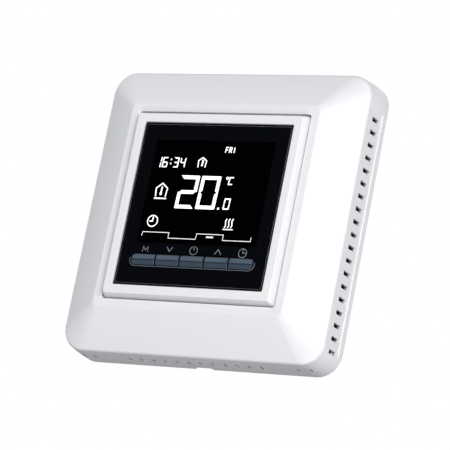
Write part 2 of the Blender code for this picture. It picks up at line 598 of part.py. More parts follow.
def make_keys(mat, switch_mat, plunger_mat, body):
    names = ("menu", "down", "power", "up", "timer")
    flange_front = LENS_BACK + CLEARANCE
    flange_back = flange_front + KEY_FLANGE_THICKNESS
    flange_middle = (flange_front + flange_back) / 2
    switch_back = BOARD_FRONT - CLEARANCE
    switch_front = switch_back - SWITCH_HEIGHT
    plunger_front = switch_front - PLUNGER_STAND
    plunger_back = plunger_front + PLUNGER_LENGTH
    half_x, half_z = SWITCH_SIZE[0] / 2, SWITCH_SIZE[1] / 2
    ends = KEY_ROW_LENGTH / 2
    for k, (name, x) in enumerate(zip(names, evenly(KEY_COUNT, KEY_PITCH))):
        x0 = -ends if k == 0 else x - KEY_PITCH / 2 + CLEARANCE / 2
        x1 = ends if k == KEY_COUNT - 1 else x + KEY_PITCH / 2 - CLEARANCE / 2
        key = place(f"key_{name}", key_solid(x0, x1, flange_middle), mat, body, (x, LENS_FRONT, KEY_Z))
        join(key, f"flange_{name}", Shape().box(x0, x1, flange_front, flange_back,
                                                KEY_Z - FLANGE_HALF, KEY_Z + FLANGE_HALF))
        stem = [(KEY_STEM_RADIUS, flange_middle), (KEY_STEM_RADIUS, plunger_front - CLEARANCE)]
        join(key, f"stem_{name}", Shape().turned(x, KEY_Z, stem, 16))

        case = outline(x - half_x, x + half_x, KEY_Z - half_z, KEY_Z + half_z, SWITCH_RADIUS)
        switch = place(f"switch_{name}", Shape().prism(case, switch_front, switch_back), switch_mat, body)
        well = [(PLUNGER_RADIUS + CLEARANCE, switch_front - THROUGH),
                (PLUNGER_RADIUS + CLEARANCE, plunger_back + KEY_TRAVEL + PLUNGER_SPARE)]
        cut(switch, f"well_{name}", Shape().turned(x, KEY_Z, well, 16))
        plunger = Shape().turned(x, KEY_Z, [(PLUNGER_RADIUS, plunger_front), (PLUNGER_RADIUS, plunger_back)], 16)
        place(f"plunger_{name}", plunger, plunger_mat, body, (x, plunger_front, KEY_Z), smooth=True)


def make_screen(mats, body):
    """LCD cell, its holder, the light guide behind it and the contact strip along its top."""
    lcd_back = LCD_FRONT + LCD_THICKNESS
    panel = Shape().box(-LCD_HALF, LCD_HALF, LCD_FRONT, lcd_back, LCD_LOW, LCD_HIGH)
    place("lcd_panel", panel, mats["lcd"], body)

    holder_back = BOARD_FRONT - CLEARANCE
    inner, outer = [outline(-LCD_HALF - room, LCD_HALF + room, LCD_LOW - room, LCD_HIGH + room, radius)
                    for room, radius in ((CLEARANCE, HOLDER_RADIUS / 2), (CLEARANCE + HOLDER_WALL, HOLDER_RADIUS))]
    sections = [(outer, LCD_FRONT), (outer, holder_back), (inner, holder_back), (inner, LCD_FRONT)]
    place("lcd_holder", Shape().loft(sections, closed=True), mats["holder"], body)

    strip_front = lcd_back + CLEARANCE
    strip_low = LCD_HIGH - STRIP_HEIGHT
    strip = Shape().box(STRIP_END - LCD_HALF, LCD_HALF - STRIP_END, strip_front, holder_back, strip_low, LCD_HIGH)
    place("contact_strip", strip, mats["rubber"], body)
    guide = outline(CLEARANCE - LCD_HALF, LCD_HALF - CLEARANCE, LCD_LOW + CLEARANCE, strip_low - CLEARANCE,
                    GUIDE_RADIUS)
    place("light_guide", Shape().prism(guide, strip_front, strip_front + GUIDE_THICKNESS), mats["guide"], body)


def make_module_electronics(mats, body):
    """Display board, what is soldered to it, and the module's rear cover."""
    half = SKIRT_INNER - BOARD_MARGIN
    board = Shape().prism(square(half, BOARD_RADIUS), BOARD_FRONT, BOARD_BACK)
    place("display_board", board, mats["board"], body)

    front = BOARD_BACK + CLEARANCE
    side, thickness = CONTROLLER
    chip = outline(CONTROLLER_AT[0] - side / 2, CONTROLLER_AT[0] + side / 2,
                   CONTROLLER_AT[1] - side / 2, CONTROLLER_AT[1] + side / 2, CONTROLLER_RADIUS)
    place("microcontroller", Shape().prism(chip, front, front + thickness), mats["chip"], body)
    radius, height, edge = CELL
    cell = [(radius, front), (radius, front + height - edge), (radius - edge, front + height)]
    place("backup_capacitor", Shape().turned(*CELL_AT, cell, 28), mats["can"], body, smooth=True)
    radius, height = CRYSTAL
    crystal = [(radius, front), (radius, front + height)]
    place("clock_crystal", Shape().turned(*CRYSTAL_AT, crystal, 16), mats["can"], body, smooth=True)
    radius, height, edge = BEAD
    bead = [(radius - edge, front), (radius, front + edge), (radius, front + height - edge),
            (radius - edge, front + height)]
    place("air_sensor", Shape().turned(0.0, -POST_AT, bead, 16), mats["sensor"], body, smooth=True)

    half_z = HEADER_HEIGHT / 2
    header_back = front + HEADER_THICKNESS
    plastic = Shape().box(-CONNECTOR_HALF, CONNECTOR_HALF, front, header_back, CONNECTOR_Z - half_z,
                          CONNECTOR_Z + half_z)
    header = place("pin_header", plastic, mats["connector"], body)
    pins = Shape()
    for x in evenly(PIN_COUNT, PIN_PITCH):
        pins.box(x - PIN_SIZE / 2, x + PIN_SIZE / 2, header_back - PIN_ROOT, PIN_END,
                 CONNECTOR_Z - PIN_SIZE / 2, CONNECTOR_Z + PIN_SIZE / 2)
    join(header, "pin", pins)

    half = SKIRT_INNER - CLEARANCE
    face = square(half, LENS_RADIUS)
    cover = place("module_cover", Shape().prism(face, COVER_FRONT, MODULE_BACK), mats["grey"], body)
    posts = Shape()
    for x in (-POST_AT, POST_AT):
        for z in (-POST_AT, POST_AT):
            posts.turned(x, z, [(POST_RADIUS, front), (POST_RADIUS, COVER_FRONT + POST_ROOT)], 16)
    join(cover, "post", posts)
    window = outline(-CONNECTOR_HALF - CLEARANCE, CONNECTOR_HALF + CLEARANCE, CONNECTOR_Z - half_z - CLEARANCE,
                     CONNECTOR_Z + half_z + CLEARANCE, CLEARANCE)
    y0, y1 = COVER_FRONT - THROUGH, MODULE_BACK + THROUGH
    openings = Shape().prism(window, y0, y1)
    half_width, low = MODULE_SLOT_SIZE[0] / 2, COVER_SLOT_RISE - SKIRT_INNER
    for x in evenly(MODULE_SLOTS, MODULE_SLOT_PITCH):
        openings.box(x - half_width, x + half_width, y0, y1, low, low + COVER_SLOT_LENGTH)
    cut(cover, "window", openings)


def make_display_module(mats):
    body = assembly("display_pull_axis")
    make_bezel(mats["white"], body)
    make_lens(mats["lens"], body)
    make_screen(mats, body)
    make_keys(mats["key"], mats["switch"], mats["plunger"], body)
    make_module_electronics(mats, body)


# ---------------------------------------------------------------- base
def make_plate(mats, body):
    face = outline(-PLATE_HALF_X, PLATE_HALF_X, -PLATE_HALF_Z, PLATE_HALF_Z, PLATE_RADIUS, MEDIUM_ARC)
    plate = place("mounting_plate", Shape().prism(face, PLATE_FRONT, 0.0), mats["steel"], body)
    holes = Shape()
    y0, y1 = PLATE_FRONT - THROUGH, THROUGH
    holes.prism(square(HOUSING_HALF + PLATE_FIT, HOUSING_RADIUS + PLATE_FIT, MEDIUM_ARC), y0, y1)
    at = SCREW_SPACING / 2
    for side in (-1, 1):
        holes.prism(stadium(side * at, 0.0, SCREW_SLOT_WIDTH, SCREW_SLOT_LENGTH), y0, y1)
        holes.prism(stadium(0.0, side * at, SCREW_SLOT_LENGTH, SCREW_SLOT_WIDTH), y0, y1)
        holes.prism(circle(side * EAR_SCREW_X, EAR_Z, EAR_SCREW[2] + CLEARANCE, 16), y0, y1)
    cut(plate, "plate_hole", holes)
    for side, word in ((-1, "left"), (1, "right")):
        screw(f"wall_screw_{word}", side * at, 0.0, WALL_SCREW, PLATE_FRONT - CLEARANCE, mats["screw"], body)


def make_housing(mats, body):
    flange_half = HOUSING_HALF + HOUSING_FLANGE
    flange_radius = HOUSING_RADIUS + HOUSING_FLANGE
    sections = [(CAVITY_HALF, CAVITY_BACK, CAVITY_RADIUS),
                (CAVITY_HALF, FLANGE_FRONT, CAVITY_RADIUS),
                (flange_half, FLANGE_FRONT, flange_radius),
                (flange_half, FLANGE_BACK, flange_radius),
                (HOUSING_HALF, FLANGE_BACK, HOUSING_RADIUS),
                (HOUSING_HALF, HOUSING_BACK - HOUSING_CHAMFER, HOUSING_RADIUS),
                (HOUSING_HALF - HOUSING_CHAMFER, HOUSING_BACK, HOUSING_RADIUS - HOUSING_CHAMFER)]
    rings = [(square(half, radius, MEDIUM_ARC), y) for half, y, radius in sections]
    housing = place("power_housing", Shape().loft(rings), mats["housing"], body, smooth=True)

    additions, holes = Shape(), Shape()
    ear_hole, boss_hole = EAR_SCREW[2] + CLEARANCE, BOARD_SCREW[2] + CLEARANCE
    for side in (-1, 1):
        x0, x1 = sorted((side * (flange_half - EAR_ROOT), side * EAR_REACH))
        additions.prism(outline(x0, x1, EAR_Z - EAR_HEIGHT / 2, EAR_Z + EAR_HEIGHT / 2, EAR_ROOT),
                        FLANGE_FRONT, FLANGE_BACK)
        holes.turned(side * EAR_SCREW_X, EAR_Z, [(ear_hole, FLANGE_FRONT - THROUGH),
                                                 (ear_hole, FLANGE_BACK + THROUGH)], 16)
        x, z = side * BOSS_AT[0], BOSS_AT[1]
        additions.turned(x, z, [(BOSS_RADIUS, PARTS_FRONT), (BOSS_RADIUS, CAVITY_BACK + BOSS_ROOT)], 20)
        holes.turned(x, z, [(boss_hole, PARTS_FRONT - THROUGH), (boss_hole, PARTS_FRONT + BOARD_SCREW[3])], 12)
    join(housing, "ear_and_boss", additions)
    width, height = WIRE_HOLE
    for x in evenly(TERMINAL_COUNT, TERMINAL_PITCH):
        holes.box(x - width / 2, x + width / 2, WIRE_HOLE_Y - height / 2, WIRE_HOLE_Y + height / 2,
                  -HOUSING_HALF - THROUGH, -CAVITY_HALF + THROUGH)
    cut(housing, "housing_hole", holes)
    for side, word in ((-1, "left"), (1, "right")):
        screw(f"housing_screw_{word}", side * EAR_SCREW_X, EAR_Z, EAR_SCREW, FLANGE_FRONT - CLEARANCE,
              mats["screw"], body)


def make_lid(mats, body):
    face = square(CAVITY_HALF - CLEARANCE, CAVITY_RADIUS - CLEARANCE, MEDIUM_ARC)
    lid = place("power_cover", Shape().prism(face, LID_FRONT, LID_BACK), mats["grey"], body)
    holes = Shape()
    y0, y1 = LID_FRONT - THROUGH, LID_BACK + THROUGH
    half_x, half_z = CONNECTOR_HALF + CLEARANCE, SOCKET_HEIGHT / 2 + CLEARANCE
    holes.box(-half_x, half_x, y0, y1, CONNECTOR_Z - half_z, CONNECTOR_Z + half_z)
    for x in evenly(TERMINAL_COUNT, TERMINAL_PITCH):
        holes.turned(x, TERMINAL_MIDDLE, [(TERMINAL_WELL, y0), (TERMINAL_WELL, y1)], 16)
    width, height = LID_VENT_SIZE
    high = CAVITY_HALF - LID_VENT_MARGIN
    for x in evenly(LID_VENTS, LID_VENT_PITCH):
        holes.box(x - width / 2, x + width / 2, y0, y1, high - height, high)
    cut(lid, "lid_hole", holes)


def make_terminals(mats, body):
    half = TERMINAL_COUNT * TERMINAL_PITCH / 2 + TERMINAL_END
    face = outline(-half, half, TERMINAL_LOW, TERMINAL_TOP, TERMINAL_RADII)
    shape = Shape().prism(face, TERMINAL_FRONT, TERMINAL_FRONT + TERMINAL_DEPTH)
    block = place("terminal_block", shape, mats["terminal"], body)
    width, height = WIRE_HOLE
    wells, funnels = Shape(), Shape()
    hole_front = WIRE_HOLE_Y - height / 2
    for x in evenly(TERMINAL_COUNT, TERMINAL_PITCH):
        wells.turned(x, TERMINAL_MIDDLE, [(TERMINAL_WELL, TERMINAL_FRONT - THROUGH),
                                          (TERMINAL_WELL, hole_front + WELL_OVERLAP)], 16)
        funnels.box(x - width / 2, x + width / 2, hole_front, hole_front + height,
                    TERMINAL_LOW - THROUGH, TERMINAL_MIDDLE + TERMINAL_WELL)
    cut(block, "screw_well", wells)
    cut(block, "wire_funnel", funnels)

    radius, length = TERMINAL_SCREW
    slot_width, slot_depth = TERMINAL_SLOT
    front = TERMINAL_FRONT + TERMINAL_SCREW_SINK
    profile = [(radius * 0.85, front), (radius, front + radius * 0.2), (radius, front + length - radius * 0.2),
               (radius * 0.8, front + length)]
    for number, x in enumerate(evenly(TERMINAL_COUNT, TERMINAL_PITCH), start=1):
        piece = place(f"terminal_screw_{number}", Shape().turned(x, TERMINAL_MIDDLE, profile, 16), mats["screw"],
                      body, smooth=True)
        slot = Shape().box(x - 2 * radius, x + 2 * radius, front - THROUGH, front + slot_depth,
                           TERMINAL_MIDDLE - slot_width / 2, TERMINAL_MIDDLE + slot_width / 2)
        cut(piece, f"slot_{number}", slot)


def make_power_board(mats, body):
    edge = CAVITY_HALF - POWER_BOARD_MARGIN
    radii = (POWER_BOARD_RADIUS, POWER_BOARD_RADIUS, CAVITY_RADIUS, CAVITY_RADIUS)
    face = outline(-edge, edge, POWER_BOARD_BOTTOM, edge, radii, MEDIUM_ARC)
    board = place("power_board", Shape().prism(face, POWER_BOARD_FRONT, POWER_BOARD_BACK), mats["board"], body)
    holes = Shape()
    hole = BOARD_SCREW[2] + CLEARANCE
    for x in (-BOSS_AT[0], BOSS_AT[0]):
        holes.turned(x, BOSS_AT[1], [(hole, POWER_BOARD_FRONT - THROUGH), (hole, POWER_BOARD_BACK + THROUGH)], 12)
    cut(board, "board_hole", holes)
    for side, word in ((-1, "left"), (1, "right")):
        screw(f"board_screw_{word}", side * BOSS_AT[0], BOSS_AT[1], BOARD_SCREW, POWER_BOARD_FRONT - CLEARANCE,
              mats["screw"], body)

    half_z = SOCKET_HEIGHT / 2
    plastic = Shape().box(-CONNECTOR_HALF, CONNECTOR_HALF, LID_FRONT, POWER_BOARD_FRONT - CLEARANCE,
                          CONNECTOR_Z - half_z, CONNECTOR_Z + half_z)
    socket = place("pin_socket", plastic, mats["connector"], body)
    bores = Shape()
    for x in evenly(PIN_COUNT, PIN_PITCH):
        bores.box(x - PIN_BORE / 2, x + PIN_BORE / 2, LID_FRONT - THROUGH, PIN_END + PIN_SPARE,
                  CONNECTOR_Z - PIN_BORE / 2, CONNECTOR_Z + PIN_BORE / 2)
    cut(socket, "pin_bore", bores)


def make_power_parts(mats, body):
    """Parts on the back of the power board, placed from the housing and from each other."""
    front = PARTS_FRONT
    width, height, depth = RELAY
    relay_left, relay_low = RELAY_SIDE_ROOM - CAVITY_HALF, POWER_BOARD_BOTTOM + RELAY_RISE
    relay = outline(relay_left, relay_left + width, relay_low, relay_low + height, RELAY_RADIUS)
    place("relay", Shape().prism(relay, front, front + depth), mats["relay"], body)

    low = POWER_BOARD_BOTTOM + CONVERTER_RISE
    radius, length = FUSE
    fuse_x = CAVITY_HALF - FUSE_SIDE_ROOM
    fuse = upright_rod(fuse_x, front + FUSE_STAND, low, low + length, radius)
    place("fuse", fuse, mats["glass"], body, smooth=True)

    can_x, can_z = BOSS_AT[0] - CAN_FROM_BOSS[0], BOSS_AT[1] - CAN_FROM_BOSS[1]
    can_radius, height, edge = CAN
    can = [(can_radius - edge, front), (can_radius, front + edge), (can_radius, front + height - edge),
           (can_radius - edge, front + height)]
    place("smoothing_capacitor", Shape().turned(can_x, can_z, can), mats["can"], body, smooth=True)

    film_right = fuse_x - radius - FILM_GAPS[0]
    film_left = film_right - FILM[0]
    film = outline(film_left, film_right, low, can_z - can_radius - FILM_GAPS[1], FILM_RADIUS)
    place("film_capacitor", Shape().prism(film, front, front + FILM[1]), mats["film"], body)

    radius, thickness = VARISTOR
    disc_low = CAVITY_HALF - VARISTOR_TOP_ROOM
    disc = upright_rod(VARISTOR_X, front + VARISTOR_STAND, disc_low, disc_low + thickness, radius)
    place("varistor", disc, mats["varistor"], body, smooth=True)
    converter = outline(relay_left + width + CONVERTER_GAPS[0], film_left - CONVERTER_GAPS[1], low,
                        disc_low - CONVERTER_GAPS[2], CONVERTER_RADIUS)
    place("power_converter", Shape().prism(converter, front, front + CONVERTER_DEPTH), mats["black"], body)


def upright_rod(x, y, z0, z1, radius, sides=20):
    """Round rod along Z with softened ends."""
    shape = Shape()
    soft = ROD_SOFTENING
    rings = []
    for scale, z in ((radius - soft, z0), (radius, z0 + soft), (radius, z1 - soft), (radius - soft, z1)):
        rings.append([shape.bm.verts.new((x + scale * math.cos(math.tau * k / sides),
                                          y + scale * math.sin(math.tau * k / sides), z))
                      for k in range(sides)])
    for first, second in zip(rings, rings[1:]):
        for k in range(sides):
            n = (k + 1) % sides
            shape.bm.faces.new((first[k], first[n], second[n], second[k]))
    shape.bm.faces.new(rings[0])
    shape.bm.faces.new(list(reversed(rings[-1])))
    return shape


def make_base(mats):
    body = assembly("base_origin")
    make_plate(mats, body)
    make_housing(mats, body)
    make_lid(mats, body)
    make_terminals(mats, body)
    make_power_board(mats, body)
    make_power_parts(mats, body)


def make_materials():
    return {
        "white": material("white_abs", (0.83, 0.84, 0.85), 0.42),
        "lens": material("black_lens", (0.006, 0.007, 0.010), 0.08),
        "key": material("smoked_key", (0.075, 0.105, 0.145), 0.22),
        "lcd": material("lcd_glass", (0.010, 0.012, 0.016), 0.10),
        "holder": material("lcd_holder", (0.035, 0.035, 0.038), 0.55),
        "rubber": material("contact_rubber", (0.32, 0.10, 0.12), 0.70),
        "guide": material("light_guide", (0.88, 0.90, 0.92), 0.30),
        "board": material("circuit_board", (0.030, 0.150, 0.070), 0.45),
        "chip": material("chip_resin", (0.022, 0.022, 0.024), 0.50),
        "can": material("capacitor_can", (0.55, 0.56, 0.58), 0.30, 1.0),
        "sensor": material("sensor_bead", (0.020, 0.022, 0.025), 0.35),
        "connector": material("connector_nylon", (0.028, 0.028, 0.030), 0.50),
        "switch": material("switch_case", (0.045, 0.045, 0.048), 0.45),
        "plunger": material("switch_plunger", (0.62, 0.60, 0.55), 0.50),
        "steel": material("zinc_steel", (0.60, 0.61, 0.62), 0.35, 1.0),
        "screw": material("screw_steel", (0.66, 0.65, 0.62), 0.28, 1.0),
        "housing": material("housing_grey", (0.48, 0.50, 0.52), 0.50),
        "grey": material("cover_grey", (0.60, 0.62, 0.64), 0.50),
        "terminal": material("terminal_green", (0.060, 0.300, 0.160), 0.45),
        "relay": material("relay_case", (0.020, 0.060, 0.180), 0.40),
        "black": material("converter_resin", (0.025, 0.025, 0.028), 0.45),
        "film": material("film_case", (0.550, 0.420, 0.090), 0.40),
        "varistor": material("varistor_epoxy", (0.050, 0.160, 0.420), 0.35),
        "glass": material("fuse_glass", (0.70, 0.74, 0.76), 0.10),
    }


def main():
    clear_scene()
    mats = make_materials()
    make_surround(mats["white"])
    make_display_module(mats)
    make_base(mats)


main()
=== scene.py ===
"""Looks of the wall thermostat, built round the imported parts.

Metres, +Z up, front towards -Y, origin in the middle of the wall plane, as in the CAD.
"""
import math

import bmesh
import bpy
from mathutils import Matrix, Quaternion, Vector


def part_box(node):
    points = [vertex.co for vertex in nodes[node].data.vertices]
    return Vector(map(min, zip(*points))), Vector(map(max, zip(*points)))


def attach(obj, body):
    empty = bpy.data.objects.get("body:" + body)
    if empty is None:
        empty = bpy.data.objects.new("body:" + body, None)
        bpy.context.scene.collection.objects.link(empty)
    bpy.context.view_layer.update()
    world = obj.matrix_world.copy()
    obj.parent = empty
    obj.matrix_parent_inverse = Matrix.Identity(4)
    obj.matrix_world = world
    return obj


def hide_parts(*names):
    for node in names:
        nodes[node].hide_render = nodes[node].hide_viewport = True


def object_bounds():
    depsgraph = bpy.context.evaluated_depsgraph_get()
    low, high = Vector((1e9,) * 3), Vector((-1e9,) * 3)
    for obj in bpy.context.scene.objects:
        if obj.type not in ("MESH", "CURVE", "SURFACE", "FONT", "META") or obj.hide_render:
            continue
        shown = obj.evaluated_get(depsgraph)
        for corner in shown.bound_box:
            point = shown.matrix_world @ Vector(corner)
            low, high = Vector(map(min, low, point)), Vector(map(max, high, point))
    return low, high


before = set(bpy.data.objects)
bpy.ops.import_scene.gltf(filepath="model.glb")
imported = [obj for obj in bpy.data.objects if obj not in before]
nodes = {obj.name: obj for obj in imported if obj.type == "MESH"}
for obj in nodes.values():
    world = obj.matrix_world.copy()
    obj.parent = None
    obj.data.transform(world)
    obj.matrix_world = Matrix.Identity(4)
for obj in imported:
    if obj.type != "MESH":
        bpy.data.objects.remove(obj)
cad_low, cad_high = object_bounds()

MM = 0.001
FRONT = cad_low.y                     # front of the bezel
HALF = cad_high.x                     # half of the outline at the wall


# ---------------------------------------------------------------- outlines, lists of (x, z)
def outline(x0, x1, z0, z1, radius, steps=6):
    """Rounded rectangle, anticlockwise as seen from the front, from its lower left corner."""
    points = []
    corners = ((x0, z0, 180), (x1, z0, 270), (x1, z1, 0), (x0, z1, 90))
    for x, z, start in corners:
        centre_x = x + radius if x == x0 else x - radius
        centre_z = z + radius if z == z0 else z - radius
        for step in range(steps + 1):
            angle = math.radians(start + 90 * step / steps)
            points.append((centre_x + radius * math.cos(angle), centre_z + radius * math.sin(angle)))
    return points


def square(half, radius, steps=6):
    return outline(-half, half, -half, half, radius, steps)


def stadium(x, z, length_x, length_z, steps=8):
    end = min(length_x, length_z) / 2 * 0.999
    return outline(x - length_x / 2, x + length_x / 2, z - length_z / 2, z + length_z / 2, end, steps)


def circle(x, z, radius, sides=32):
    return [(x + radius * math.cos(math.tau * k / sides), z + radius * math.sin(math.tau * k / sides))
            for k in range(sides)]


# ---------------------------------------------------------------- solids
class Shape:
    """Collects closed shapes in one bmesh; outlines lie in planes of constant y."""

    def __init__(self):
        self.bm = bmesh.new()

    def loft(self, sections, closed=False):
        rings = [[self.bm.verts.new((x, y, z)) for x, z in points] for points, y in sections]
        pairs = list(zip(rings, rings[1:]))
        if closed:
            pairs.append((rings[-1], rings[0]))
        count = len(rings[0])
        for first, second in pairs:
            for k in range(count):
                n = (k + 1) % count
                self.bm.faces.new((first[k], first[n], second[n], second[k]))
        if not closed:
            self.bm.faces.new(rings[0])
            self.bm.faces.new(list(reversed(rings[-1])))
        return self

    def prism(self, points, y0, y1):
        return self.loft([(points, y0), (points, y1)])

    def box(self, x0, x1, y0, y1, z0, z1):
        return self.prism([(x0, z0), (x1, z0), (x1, z1), (x0, z1)], y0, y1)

    def turned(self, x, z, profile, sides=32):
        return self.loft([(circle(x, z, radius, sides), y) for radius, y in profile])

    def sideways(self, points, x0, x1):
        """Prism along X from an outline of (y, z) pairs."""
        rings = [[self.bm.verts.new((x, y, z)) for y, z in points] for x in (x0, x1)]
        count = len(points)
        for k in range(count):
            n = (k + 1) % count
            self.bm.faces.new((rings[0][k], rings[0][n], rings[1][n], rings[1][k]))
        self.bm.faces.new(rings[0])
        self.bm.faces.new(list(reversed(rings[1])))
        return self

    def mesh(self, name):
        bmesh.ops.recalc_face_normals(self.bm, faces=self.bm.faces)
        mesh = bpy.data.meshes.new(name)
        self.bm.to_mesh(mesh)
        self.bm.free()
        return mesh


def loose(name, shape, mat=None):
    mesh = shape.mesh(name)
    if mat is not None:
        mesh.materials.append(mat)
    obj = bpy.data.objects.new(name, mesh)
    bpy.context.scene.collection.objects.link(obj)
    return obj


def applied(obj):
    """Turn the object's modifiers into its own mesh."""
    bpy.context.view_layer.update()
    depsgraph = bpy.context.evaluated_depsgraph_get()
    mesh = bpy.data.meshes.new_from_object(obj.evaluated_get(depsgraph))
    obj.modifiers.clear()
    obj.data = mesh
    return obj


def cut(obj, shape):
    tool = loose("cutter", shape)
    modifier = obj.modifiers.new("cut", "BOOLEAN")
    modifier.operation = "DIFFERENCE"
    modifier.solver = "EXACT"
    modifier.object = tool
    applied(obj)
    bpy.data.objects.remove(tool)


def join(obj, shape):
    tool = loose("addition", shape)
    modifier = obj.modifiers.new("join", "BOOLEAN")
    modifier.operation = "UNION"
    modifier.solver = "EXACT"
    modifier.object = tool
    applied(obj)
    bpy.data.objects.remove(tool)


def soften(obj, width, angle=40, segments=2):
    """Round the sharp edges, and shade flat faces flat and rounded ones smooth."""
    if width:
        bevel = obj.modifiers.new("bevel", "BEVEL")
        bevel.limit_method = "ANGLE"
        bevel.angle_limit = math.radians(angle)
        bevel.width = width
        bevel.segments = segments
        bevel.use_clamp_overlap = True
        applied(obj)
    obj.data.shade_smooth()
    obj.data.set_sharp_from_angle(angle=math.radians(angle))
    weighted = obj.modifiers.new("weighted", "WEIGHTED_NORMAL")
    weighted.keep_sharp = True
    weighted.weight = 90
    applied(obj)


# ---------------------------------------------------------------- materials
class Nodes:
    """Short names for the shader nodes used here."""

    def __init__(self, name):
        self.mat = bpy.data.materials.new(name)
        self.mat.use_nodes = True
        self.tree = self.mat.node_tree
        self.shader = self.tree.nodes["Principled BSDF"]
        self.coords = self.tree.nodes.new("ShaderNodeTexCoord").outputs["Object"]

    def set(self, **values):
        for key, value in values.items():
            self.shader.inputs[key.replace("_", " ")].default_value = value
        return self

    def plug(self, value, socket):
        if hasattr(value, "links"):
            self.tree.links.new(value, socket)
        elif isinstance(value, tuple) and len(value) == 3 and socket.type == "RGBA":
            socket.default_value = (*value, 1.0)
        else:
            socket.default_value = value

    def noise(self, scale, detail=2.0, roughness=0.5, coords=None):
        node = self.tree.nodes.new("ShaderNodeTexNoise")
        self.plug(coords or self.coords, node.inputs["Vector"])
        node.inputs["Scale"].default_value = scale
        node.inputs["Detail"].default_value = detail
        node.inputs["Roughness"].default_value = roughness
        return node.outputs["Fac"]

    def voronoi(self, scale, feature="F1", output="Distance", coords=None):
        node = self.tree.nodes.new("ShaderNodeTexVoronoi")
        node.feature = feature
        self.plug(coords or self.coords, node.inputs["Vector"])
        node.inputs["Scale"].default_value = scale
        return node.outputs[output]

    def stretched(self, x=1.0, y=1.0, z=1.0):
        node = self.tree.nodes.new("ShaderNodeMapping")
        self.plug(self.coords, node.inputs["Vector"])
        node.inputs["Scale"].default_value = (x, y, z)
        return node.outputs["Vector"]

    def axis(self, name):
        node = self.tree.nodes.new("ShaderNodeSeparateXYZ")
        self.plug(self.coords, node.inputs["Vector"])
        return node.outputs[name]

    def math(self, operation, a, b=0.0, c=0.0):
        node = self.tree.nodes.new("ShaderNodeMath")
        node.operation = operation
        self.plug(a, node.inputs[0])
        self.plug(b, node.inputs[1])
        self.plug(c, node.inputs[2])
        return node.outputs["Value"]

    def span(self, value, low, high, to_low=0.0, to_high=1.0):
        node = self.tree.nodes.new("ShaderNodeMapRange")
        self.plug(value, node.inputs["Value"])
        for key, number in zip(("From Min", "From Max", "To Min", "To Max"), (low, high, to_low, to_high)):
            node.inputs[key].default_value = number
        return node.outputs["Result"]

    def mix(self, factor, a, b):
        node = self.tree.nodes.new("ShaderNodeMix")
        node.data_type = "RGBA"
        self.plug(factor, node.inputs["Factor"])
        self.plug(a, node.inputs["A"])
        self.plug(b, node.inputs["B"])
        return node.outputs["Result"]

    def bump(self, height, strength, distance):
        node = self.tree.nodes.new("ShaderNodeBump")
        self.plug(height, node.inputs["Height"])
        node.inputs["Strength"].default_value = strength
        node.inputs["Distance"].default_value = distance
        self.plug(node.outputs["Normal"], self.shader.inputs["Normal"])
        return self

    def to(self, socket, value):
        self.plug(value, self.shader.inputs[socket])
        return self


def moulded(name, colour, roughness, shift=0.04, grain=2600, depth=0.010, mottle=60):
    """Moulded plastic: fine spark-eroded grain, a slow drift in tone, and gloss that varies with the grain."""
    n = Nodes(name)
    drift = n.span(n.noise(mottle, 3), 0.3, 0.7)
    darker = tuple(c * (1 - shift) for c in colour)
    n.to("Base Color", n.mix(drift, colour, darker))
    grains = n.noise(grain, 3, 0.6)
    n.to("Roughness", n.span(grains, 0.3, 0.7, roughness - 0.05, roughness + 0.06))
    n.bump(grains, 0.25, depth * MM)
    return n


def metal(name, colour, roughness, streak=(1.0, 1.0, 1.0), scale=900):
    n = Nodes(name)
    streaks = n.noise(scale, 4, 0.6, n.stretched(*streak))
    n.to("Base Color", n.mix(n.span(streaks, 0.3, 0.7), tuple(c * 0.82 for c in colour), colour))
    n.to("Roughness", n.span(streaks, 0.3, 0.7, roughness - 0.07, roughness + 0.1))
    n.set(Metallic=1.0)
    n.bump(streaks, 0.2, 0.01 * MM)
    return n


white = moulded("surround_white", (0.797, 0.803, 0.826), 0.40, shift=0.012).mat
bezel_white = moulded("bezel_white", (0.805, 0.810, 0.822), 0.32, shift=0.010).mat


def inside_shade_material():
    """Painted shade: a dark colour on the inside of the surround for the shade in its hollow, lighter in blotches
    and finely speckled.
    """
    n = Nodes("inside_painted_shade")
    shade_speckle = n.noise(1800, 4, 0.7)
    shade_blotches = n.span(n.noise(90, 4, 0.6), 0.45, 0.75)
    # painted shade: near black, a little lighter in blotches
    n.to("Base Color", n.mix(n.math("MULTIPLY", shade_blotches, shade_speckle), (0.030, 0.032, 0.036), (0.085, 0.088, 0.095)))
    n.to("Roughness", n.span(shade_speckle, 0.3, 0.7, 0.55, 0.8))
    n.bump(shade_speckle, 0.4, 0.02 * MM)
    return n.mat


# dark painted shade for the faces inside the surround
inside_painted_shade = inside_shade_material()


# ---------------------------------------------------------------- surround
BEZEL_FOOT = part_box("display_bezel")[1].x            # half of the bezel where it meets the surround
GAP = 0.3 * MM
OPENING = BEZEL_FOOT + GAP
RING_HALF = 30.5 * MM
RING_DEPTH = 1.95 * MM
RING_RADIUS = 1.8 * MM
EDGE_HALF = HALF - 0.54 * MM
EDGE_DEPTH = 8.05 * MM
CORNER_RADIUS = 6.8 * MM
WALL = 1.6 * MM
COLLAR_WALL = 1.4 * MM                # wall round the opening
COLLAR_DEPTH = 10.0 * MM
COLLAR_RADIUS = 0.9 * MM
COLLAR_BACK_RADIUS = 1.3 * MM
SKIN_DEPTH = 1.81 * MM                # front face to the hollow behind it
SLOPE = (EDGE_DEPTH - RING_DEPTH) / (EDGE_HALF - RING_HALF)
SLOPE_ANGLE = math.atan(SLOPE)
CROWN = 0.15 * MM                     # bulge of the slopes
WALL_CROWN = 0.12 * MM                # bulge of the side walls
ARC = 18                              # facets in a quarter circle of the surround's corners


